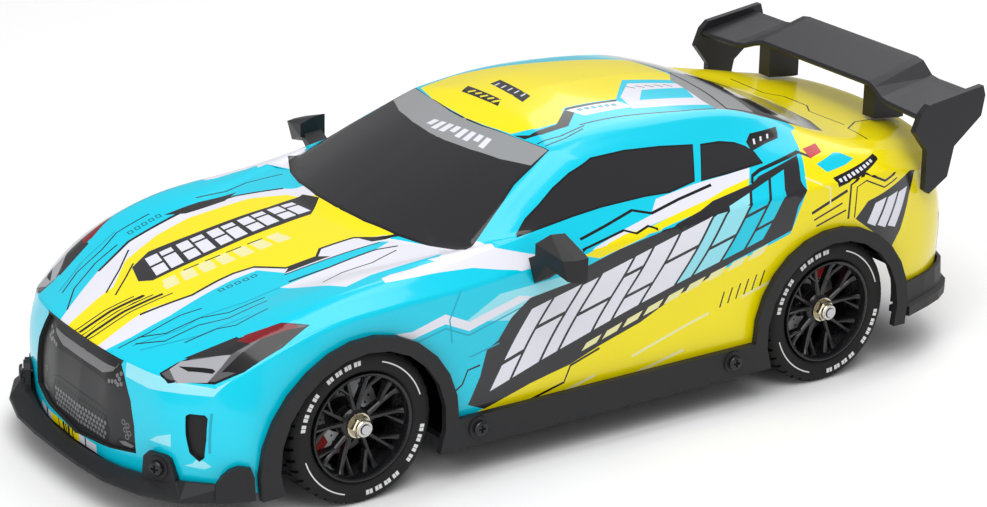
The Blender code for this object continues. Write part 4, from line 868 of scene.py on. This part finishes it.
def body():
    """Shell, lamps, grille and vents, cut from one painted surface."""
    points, normals, faces, colours = painted_body()
    materials = palette()
    inner = len(materials)
    materials.append(plain("shell_inside", (0.02, 0.02, 0.02), 0.6))
    sunk = points - normals * VENT_DEPTH
    shell = [k for k in range(len(PAINTS)) if k not in (*LAMP_PAINTS, *MESH_PAINTS, VENT)]
    for name, wanted, place, replaced in (
        ("shell", shell, points, "body_shell"), ("lamp_left", LAMP_PAINTS, points, "headlight_left"),
        ("lamp_right", LAMP_PAINTS, points, "headlight_right"), ("grille", MESH_PAINTS, sunk, "front_grille"),
        ("vents", (VENT,), sunk, None),
    ):
        keep = np.isin(colours, wanted)
        if name.startswith("lamp"):
            keep &= (points[faces].mean(axis=1)[:, 1] > 0) == (name == "lamp_left")
        obj = walled(name, place, normals, faces[keep], colours[keep], WALL, materials, inner)
        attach(obj, "chassis")
        if replaced:
            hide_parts(replaced)


# ---------------------------------------------------------------- finishes
def grained(name, dark, light, size, rough, metal=0.0, bump=0.1, coat=0.0):
    """A surface whose tone, gloss and relief vary over grains of a size in millimetres."""
    made = plain(name, dark, rough, metal)
    nodes, links = made.node_tree.nodes, made.node_tree.links
    shader = nodes["Principled BSDF"]
    shader.inputs["Coat Weight"].default_value = coat
    place, noise, tone, gloss, relief = (
        nodes.new("ShaderNode" + kind) for kind in ("TexCoord", "TexNoise", "Mix", "MapRange", "Bump")
    )
    noise.inputs["Scale"].default_value = 1 / (size * MM)
    noise.inputs["Detail"].default_value = 4
    tone.data_type = "RGBA"
    tone.inputs[6].default_value = (*dark, 1)
    tone.inputs[7].default_value = (*light, 1)
    gloss.inputs["To Min"].default_value = max(0.03, rough - 0.08)
    gloss.inputs["To Max"].default_value = rough + 0.08
    relief.inputs["Strength"].default_value = bump
    relief.inputs["Distance"].default_value = 0.1 * MM
    for source, target in (
        (place.outputs["Object"], noise.inputs["Vector"]), (noise.outputs["Fac"], tone.inputs[0]),
        (tone.outputs[2], shader.inputs["Base Color"]), (noise.outputs["Fac"], gloss.inputs["Value"]),
        (noise.outputs["Fac"], relief.inputs["Height"]), (relief.outputs["Normal"], shader.inputs["Normal"]),
        (gloss.outputs["Result"], shader.inputs["Roughness"]),
    ):
        links.new(source, target)
    return made


FINISH = {
    "trim": grained("trim_satin", (0.010, 0.010, 0.011), (0.020, 0.020, 0.022), 0.5, 0.5, bump=0.25),
    "wing": grained("wing_satin", (0.014, 0.014, 0.016), (0.026, 0.026, 0.03), 0.6, 0.42, bump=0.2),
    "rubber": grained("tyre_rubber", (0.007, 0.007, 0.007), (0.014, 0.014, 0.014), 0.8, 0.75, bump=0.3),
    "marking": grained("tyre_marking", (0.62, 0.62, 0.62), (0.78, 0.78, 0.78), 0.8, 0.6, bump=0.1),
    "rim": grained("rim_gloss", (0.005, 0.005, 0.006), (0.010, 0.010, 0.011), 2.0, 0.26, 0.0, 0.05, 0.3),
    "brass": grained("nut_plated", (0.56, 0.50, 0.38), (0.70, 0.65, 0.52), 1.2, 0.25, 1.0, 0.1),
    "insert": grained("nut_insert", (0.55, 0.55, 0.56), (0.7, 0.7, 0.72), 0.8, 0.5, bump=0.1),
    "steel": grained("turned_steel", (0.42, 0.42, 0.44), (0.60, 0.60, 0.62), 0.6, 0.3, 1.0, 0.1),
    "spring": grained("spring_wire", (0.50, 0.50, 0.52), (0.68, 0.68, 0.70), 0.9, 0.22, 1.0, 0.05),
    "disc": grained("brake_disc", (0.30, 0.30, 0.31), (0.44, 0.44, 0.45), 0.5, 0.35, 1.0, 0.15),
    # painted shade: near black for the disc's holes, the cross cut into each screw head and the knuckle's
    # plate behind the disc
    "recess_shade": grained("painted_recess_shade", (0.01, 0.01, 0.01), (0.02, 0.02, 0.02), 0.5, 0.6, bump=0.1),
    "red": grained("caliper_red", (0.42, 0.012, 0.012), (0.60, 0.03, 0.025), 1.0, 0.35, bump=0.1, coat=0.3),
    "nylon": grained("chassis_nylon", (0.010, 0.010, 0.012), (0.022, 0.022, 0.025), 0.7, 0.55, bump=0.3),
    "gearbox": grained("gearbox_nylon", (0.05, 0.05, 0.055), (0.09, 0.09, 0.095), 0.6, 0.5, bump=0.2),
    "gear": grained("gear_nylon", (0.72, 0.70, 0.62), (0.85, 0.83, 0.76), 0.7, 0.45, bump=0.1),
    "can": grained("motor_can", (0.46, 0.46, 0.48), (0.62, 0.62, 0.64), 0.4, 0.28, 1.0, 0.1),
    "wrap": grained("battery_wrap", (0.02, 0.06, 0.30), (0.04, 0.10, 0.42), 2.5, 0.3, bump=0.15, coat=0.3),
    "servo": grained("servo_case", (0.018, 0.018, 0.02), (0.04, 0.04, 0.044), 0.5, 0.4, bump=0.2),
    "board": grained("circuit_board", (0.01, 0.14, 0.05), (0.02, 0.24, 0.09), 0.9, 0.35, bump=0.2, coat=0.2),
    "switch": grained("switch_red", (0.5, 0.03, 0.02), (0.7, 0.06, 0.04), 0.7, 0.4, bump=0.1),
    "screw": grained("screw_black", (0.02, 0.02, 0.022), (0.06, 0.06, 0.062), 0.4, 0.3, 0.8, 0.1),
}
HANDS = ((1, "left"), (-1, "right"))
CORNERS = [(x, where, *hand) for x, where in ((AXLE_X, "front"), (-AXLE_X, "rear")) for hand in HANDS]


def dress(node, finish, bevel=0.0):
    """A finish, and a small rounding of the edges, for a CAD node."""
    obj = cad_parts[node]
    obj.data.materials.clear()
    obj.data.materials.append(FINISH[finish])
    if bevel:
        edge = obj.modifiers.new("edge", "BEVEL")
        edge.width = bevel * MM
        edge.segments = 2
        edge.limit_method = "ANGLE"
        edge.angle_limit = BEVEL_ABOVE
        edge.use_clamp_overlap = True


def shape(name, points, faces, materials, slots):
    """A mesh object from millimetre points."""
    mesh = bpy.data.meshes.new(name)
    mesh.from_pydata((np.array(points, float) * MM).tolist(), [], [tuple(map(int, f)) for f in faces])
    for material in materials:
        mesh.materials.append(material)
    mesh.polygons.foreach_set("material_index", np.array(slots, np.int32))
    work = bmesh.new()
    work.from_mesh(mesh)
    bmesh.ops.recalc_face_normals(work, faces=work.faces)
    work.to_mesh(mesh)
    work.free()
    mesh.shade_smooth()
    mesh.set_sharp_from_angle(angle=SHARP_ABOVE)
    obj = bpy.data.objects.new(name, mesh)
    bpy.context.scene.collection.objects.link(obj)
    return obj


class Build:
    """Points and faces gathered from several solids into one piece."""

    def __init__(self):
        self.points, self.faces, self.slots = [], [], []

    def add(self, points, faces, slot=0):
        """More points, and faces numbered from the first of them."""
        start = len(self.points)
        self.points += [tuple(p) for p in points]
        self.faces += [tuple(start + k for k in f) for f in faces]
        self.slots += [slot] * len(faces)

    def loft(self, rings, slot=0, closed=False, open_start=False):
        """Rings of points joined in order; closed joins the last to the first, else the ends are capped."""
        count, last = len(rings[0]), len(rings) - 1
        faces = []
        for i in range(last + closed):
            a, b = i * count, (i + 1) % len(rings) * count
            faces += [(a + j, a + (j + 1) % count, b + (j + 1) % count, b + j) for j in range(count)]
        if not closed:
            faces += [range(last * count, (last + 1) * count)]
        if not (closed or open_start):
            faces += [range(count)]
        self.add([p for ring in rings for p in ring], faces, slot)

    def lathe(self, profile, centre, way, count=48, slot=0, ring=False):
        """(radius, distance) points about an axis; radii of zero close the ends."""
        way = Vector(way).normalized()
        first = way.orthogonal().normalized()
        second = way.cross(first)
        rings = []
        for radius, distance in profile:
            radius = max(radius, 0.01)
            rings.append([
                Vector(centre) + way * distance + first * (radius * math.cos(2 * math.pi * k / count))
                + second * (radius * math.sin(2 * math.pi * k / count)) for k in range(count)
            ])
        self.loft(rings, slot, closed=ring)

    def done(self, name, body, materials, replaced):
        """The gathered piece, riding a body in the place of a CAD node."""
        obj = shape(name, self.points, self.faces, [FINISH[m] for m in materials], self.slots)
        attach(obj, body)
        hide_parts(replaced)


# ---------------------------------------------------------------- wheels
LUGS = 40
LUG_CUTS = (0, 0.32, 0.38, 0.70, 0.745, 0.955)  # a lug, its seam and the next slot, in shares of the pitch
TREAD_DEPTH = 0.9
TREAD_SLANT = 0.012  # radians per millimetre across the tread
SIDEWALL = at(16.9,8.6, 17.6,9.5, 18.6,9.9, 19.9,10.0, 20.3,10.0, 20.7,10.0, 21.4,10.0, 22.1,9.85)
SHOULDER = at(23.1,9.2, 23.75,8.5, 24.0,8.0)
TREAD = (8.0, 4.55, 4.4, 3.55, 3.4, 0.5, 0.35, -0.35, -0.5, -3.4, -3.55, -4.4, -4.55, -8.0)
GROOVES = at(4.4,3.55, 0.35,-0.35, -3.55,-4.4)


def tyre(x, where, side, hand):
    """Tyre with a blocked tread and a marked outer sidewall."""
    rows = [(r, t, "wall") for r, t in SIDEWALL] + [(r, t, "edge") for r, t in SHOULDER]
    rows += [(TYRE_R, t, "tread") for t in TREAD[1:]]
    rows += [(r, -t, "edge") for r, t in SHOULDER[:-1][::-1]] + [(r, -t, "wall") for r, t in SIDEWALL[::-1]]
    angles = [2 * math.pi * (lug + cut) / LUGS for lug in range(LUGS) for cut in LUG_CUTS]
    columns = len(angles)
    points = []
    for radius, t, kind in rows:
        centre_rib = abs(t) < 3.5
        for k, angle in enumerate(angles):
            low = kind == "tread" and any(b <= t <= a for a, b in GROOVES)
            slot = k % 6 in (4, 5)
            if (kind == "tread" or (kind == "edge" and radius > 23.5)) and slot:
                low = True
            shift = math.pi / LUGS if centre_rib and kind == "tread" else 0
            turn = angle + shift + (TREAD_SLANT * t if kind != "wall" else 0)
            reach = radius - (TREAD_DEPTH if low else 0)
            points.append((x + reach * math.cos(turn), side * (WHEEL_Y + t), TYRE_R + reach * math.sin(turn)))
    faces, slots = [], []
    for i in range(len(rows)):
        j = (i + 1) % len(rows)
        for k in range(columns):
            after = (k + 1) % columns
            faces.append((i * columns + k, i * columns + after, j * columns + after, j * columns + k))
            lug, part = divmod(k, 6)
            block = i in (3, 4, 5) and part in (0, 2) and (lug % 20) in (1, 2, 3, 4, 6, 7, 8, 9)
            line = i == 4 and (lug % 20) in (12, 13, 14, 15, 16, 17)
            slots.append(1 if block or line else 0)
    obj = shape(f"tyre_{where}_{hand}_tread", points, faces, [FINISH["rubber"], FINISH["marking"]], slots)
    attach(obj, f"wheel_{where}_{hand}")
    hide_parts(f"tyre_{where}_{hand}")


def rim(x, where, side, hand):
    """Barrel, ten slim forked spokes in five pairs, and the hub."""
    made = Build()
    centre, way = (x, side * WHEEL_Y, TYRE_R), (0, side, 0)
    barrel = at(
        16.5,9.3, 16.8,9.6, 16.7,9.95, 16.3,10.0, 15.9,9.7, 15.5,8.6, 15.3,7.2, 15.2,-9.1, 15.5,-9.4,
        16.5,-9.4,
    )
    made.lathe(barrel, centre, way, 96, ring=True)
    made.lathe(at(0,6.9, 3.4,6.9, 4.4,6.5, 5.1,5.6, 5.2,3.0, 4.4,0.4, 0,0.4), centre, way, 48)

    def spoke(inner, root, tip, stations):
        start = np.array((inner * math.cos(root), inner * math.sin(root)))
        end = np.array((15.5 * math.cos(tip), 15.5 * math.sin(tip)))
        along = (end - start) / np.linalg.norm(end - start)
        across = np.array((-along[1], along[0]))
        rings = []
        for share, half, face, back in stations:
            spot = start + (end - start) * share
            ring = []
            edge = half - 0.35
            for a, t in (
                (half, back), (half, face - 0.45), (edge, face), (-edge, face), (-half, face - 0.45),
                (-half, back),
            ):
                u, w = spot + across * a
                ring.append((x + u, side * (WHEEL_Y + t), TYRE_R + w))
            rings.append(ring)
        made.loft(rings)

    for pair in range(5):
        for lean in (-1, 1):
            turn = math.pi / 2 + 2 * math.pi * pair / 5
            spoke(4.2, turn + lean * 0.13, turn + lean * 0.24, (
                (0, 0.95, 6.3, 3.0), (0.12, 0.85, 6.2, 3.3), (0.5, 0.72, 6.4, 4.2), (0.85, 0.68, 7.0, 4.6),
                (1, 1.0, 7.9, 4.6),
            ))
            spoke(9.0, turn + lean * 0.19, turn + lean * 0.48, (
                (0, 0.5, 6.35, 4.2), (0.5, 0.58, 6.7, 4.4), (1, 0.85, 7.8, 4.6),
            ))
    made.done(f"rim_{where}_{hand}_spokes", f"wheel_{where}_{hand}", ["rim"], f"rim_{where}_{hand}")


def brake_disc(x, where, side, hand):
    """Disc behind the spokes, turning with the wheel; its drilled holes are not cut but drawn as near-black
    faces, painted shade.
    """
    radii = (5.6, 6.6, 7.3, 8.3, 9.0, 10.0, 10.7, 12.4)
    count = 72
    points, faces, slots = [], [], []
    for t in (-2.55, -3.15):
        for radius in radii:
            points += [(u, side * (WHEEL_Y + t), w) for u, w in circle((x, TYRE_R), radius, count)]
    layer = len(radii) * count
    for base in (0, layer):
        for i in range(len(radii) - 1):
            for k in range(count):
                a, b = base + i * count + k, base + i * count + (k + 1) % count
                faces.append((a, b, b + count, a + count))
                # holes: faces in the near-black painted shade finish, not cut through
                slots.append(1 if i in (1, 3, 5) and (k + i) % 6 == 0 else 0)
    for i in (0, (len(radii) - 1) * count):
        for k in range(count):
            a, b = i + k, i + (k + 1) % count
            faces.append((a, b, b + layer, a + layer))
            slots.append(0)
    obj = shape(f"brake_disc_{where}_{hand}", points, faces, [FINISH["disc"], FINISH["recess_shade"]], slots)
    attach(obj, f"wheel_{where}_{hand}")


def nut(x, where, side, hand):
    """Flanged lock nut with its pale insert and the axle's end."""
    made = Build()
    centre, way = (x, 0, TYRE_R), (0, side, 0)
    made.lathe(at(1.7,58.65, 3.9,58.65, 4.0,58.85, 3.9,59.2, 1.7,59.2), centre, way, 40, ring=True)
    made.loft([
        [(x + u, side * y, TYRE_R + w) for u, w in circle((0, 0), reach, 6)]
        for reach, y in ((3.2, 59.2), (3.45, 59.4), (3.45, 61.1), (3.1, 61.5))
    ])
    made.lathe(at(2.7,61.4, 2.7,62.2, 2.4,62.6, 1.7,62.6, 1.7,61.4), centre, way, 32, ring=True)
    made.lathe(at(2.3,62.5, 2.3,62.72, 1.75,62.72, 1.75,62.5), centre, way, 32, 1, ring=True)
    name = f"wheel_nut_{where}_{hand}"
    made.done(name + "_lock", f"wheel_{where}_{hand}", ["brass", "insert"], name)


# Distances from the middle of the car, and the plate's radius, that part the knuckle's faces
CALIPER_FACE, CALIPER_SIDE, PLATE_FACE, PLATE_R = 48.3, 46.3, 47.0, 13.05


def knuckle(x, where, side, hand):
    """Nylon upright and back plate, with the plate's face behind the disc in near black as painted shade, and
    the caliper in red.
    """
    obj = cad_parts[f"knuckle_{where}_{hand}"]
    obj.data.materials.clear()
    for finish in ("nylon", "recess_shade", "red"):
        obj.data.materials.append(FINISH[finish])
    for face in obj.data.polygons:
        middle = face.center / MM
        reach = math.hypot(middle.x - x, middle.z - TYRE_R)
        depth = abs(middle.y)
        if depth > CALIPER_FACE or (depth > CALIPER_SIDE and reach > PLATE_R):
            face.material_index = 2
        elif depth > PLATE_FACE:
            # painted shade: the plate's face behind the disc
            face.material_index = 1


for place in CORNERS:
    tyre(*place)
    rim(*place)
    brake_disc(*place)
    nut(*place)
    knuckle(*place)
    _, where, _, hand = place
    dress(f"axle_{where}_{hand}", "steel", 0.1)
    dress(f"arm_{where}_{hand}", "nylon", 0.25)
    dress(f"spring_{where}_{hand}", "spring")


# ---------------------------------------------------------------- screws
def screw(name, spot, way, length):
    """Pan-head screw with a cross cut into it, the cross's floor and walls darkened as painted shade; spot is
    where its head sits.
    """
    way = Vector(way).normalized()
    first = Vector((0, 0, 1)).cross(way).normalized()
    second = way.cross(first)
    made = Build()
    count = 32

    def at_head(u, v, t):
        return Vector(spot) + first * u + second * v + way * t

    w, arm = 0.36, 1.25  # half the width of the cross's arms, and their reach
    flat, top, floor = 1.62, 1.1, 0.35  # radius and height of the head's flat, height of the cross's floor
    cross = [
        (w, w), (arm, w), (arm, -w), (w, -w), (w, -arm), (-w, -arm), (-w, -w), (-arm, -w), (-arm, w), (-w, w),
        (-w, arm), (w, arm),
    ]
    dots = [Vector(p) for p in circle((0, 0), flat, count) + cross]
    edges = [(k, (k + 1) % count) for k in range(count)]
    edges += [(count + k, count + (k + 1) % 12) for k in range(12)]
    places, _, faces, *_ = delaunay_2d_cdt(dots, edges, [], 1, 1e-5)
    inner = inside(np.array([np.mean([tuple(places[v]) for v in f], axis=0) for f in faces]), cross)
    made.add([at_head(*p, top) for p in places], [f for f, cut in zip(faces, inner) if not cut])
    # the cross's floor and walls take the near-black painted shade finish
    made.add([at_head(*p, floor) for p in places], [f for f, cut in zip(faces, inner) if cut], 1)
    wall = [at_head(*p, z) for z in (top, floor) for p in cross]
    made.add(wall, [(k, (k + 1) % 12, 12 + (k + 1) % 12, 12 + k) for k in range(12)], 1)
    profile = ((flat, top), (2.05, 0.95), (2.3, 0.6), (2.3, 0.05), (0.95, 0.05), (0.95, -length))
    rings = [[at_head(u, v, t) for u, v in circle((0, 0), radius, count)] for radius, t in profile]
    made.loft(rings, open_start=True)
    made.done(name + "_cross", "chassis", ["screw", "recess_shade"], name)


for side, hand in HANDS:
    for label, x in (("fore", 49.1), ("aft", -46.9)):
        screw(f"screw_{label}_{hand}", (x, side * 65.5, 16.6), (0, side, 0), 9.4)
    way = Vector((0.89, 0.457 * side, 0)).normalized()
    screw(f"screw_nose_{hand}", Vector((141.6, 40.8 * side, 18)) + way * 3.9, way, 7.9)


# ---------------------------------------------------------------- trim and running gear
for finish, bevel, *nodes in (
    ("trim", 0.35, "front_splitter", "rear_valance"), ("trim", 0.4, "side_skirt_left", "side_skirt_right"),
    ("trim", 0.8, "mirror_left", "mirror_right"), ("wing", 0.3, "rear_wing"), ("nylon", 0.3, "chassis_tub"),
    ("nylon", 0.25, "battery_door"), ("gearbox", 0.4, "front_gearbox", "rear_gearbox"), ("can", 0.3, "motor"),
    ("brass", 0.1, "motor_pinion"), ("gear", 0.1, "spur_gear"), ("steel", 0.1, "propeller_shaft"),
    ("gear", 0.2, "servo_horn"), ("servo", 0.4, "steering_servo"), ("nylon", 0.2, "tie_rod"),
    ("wrap", 0.4, "battery_pack"), ("board", 0.0, "circuit_board"), ("switch", 0.1, "power_switch"),
):
    for node in nodes:
        dress(node, finish, bevel)

body()
camera()
studio()
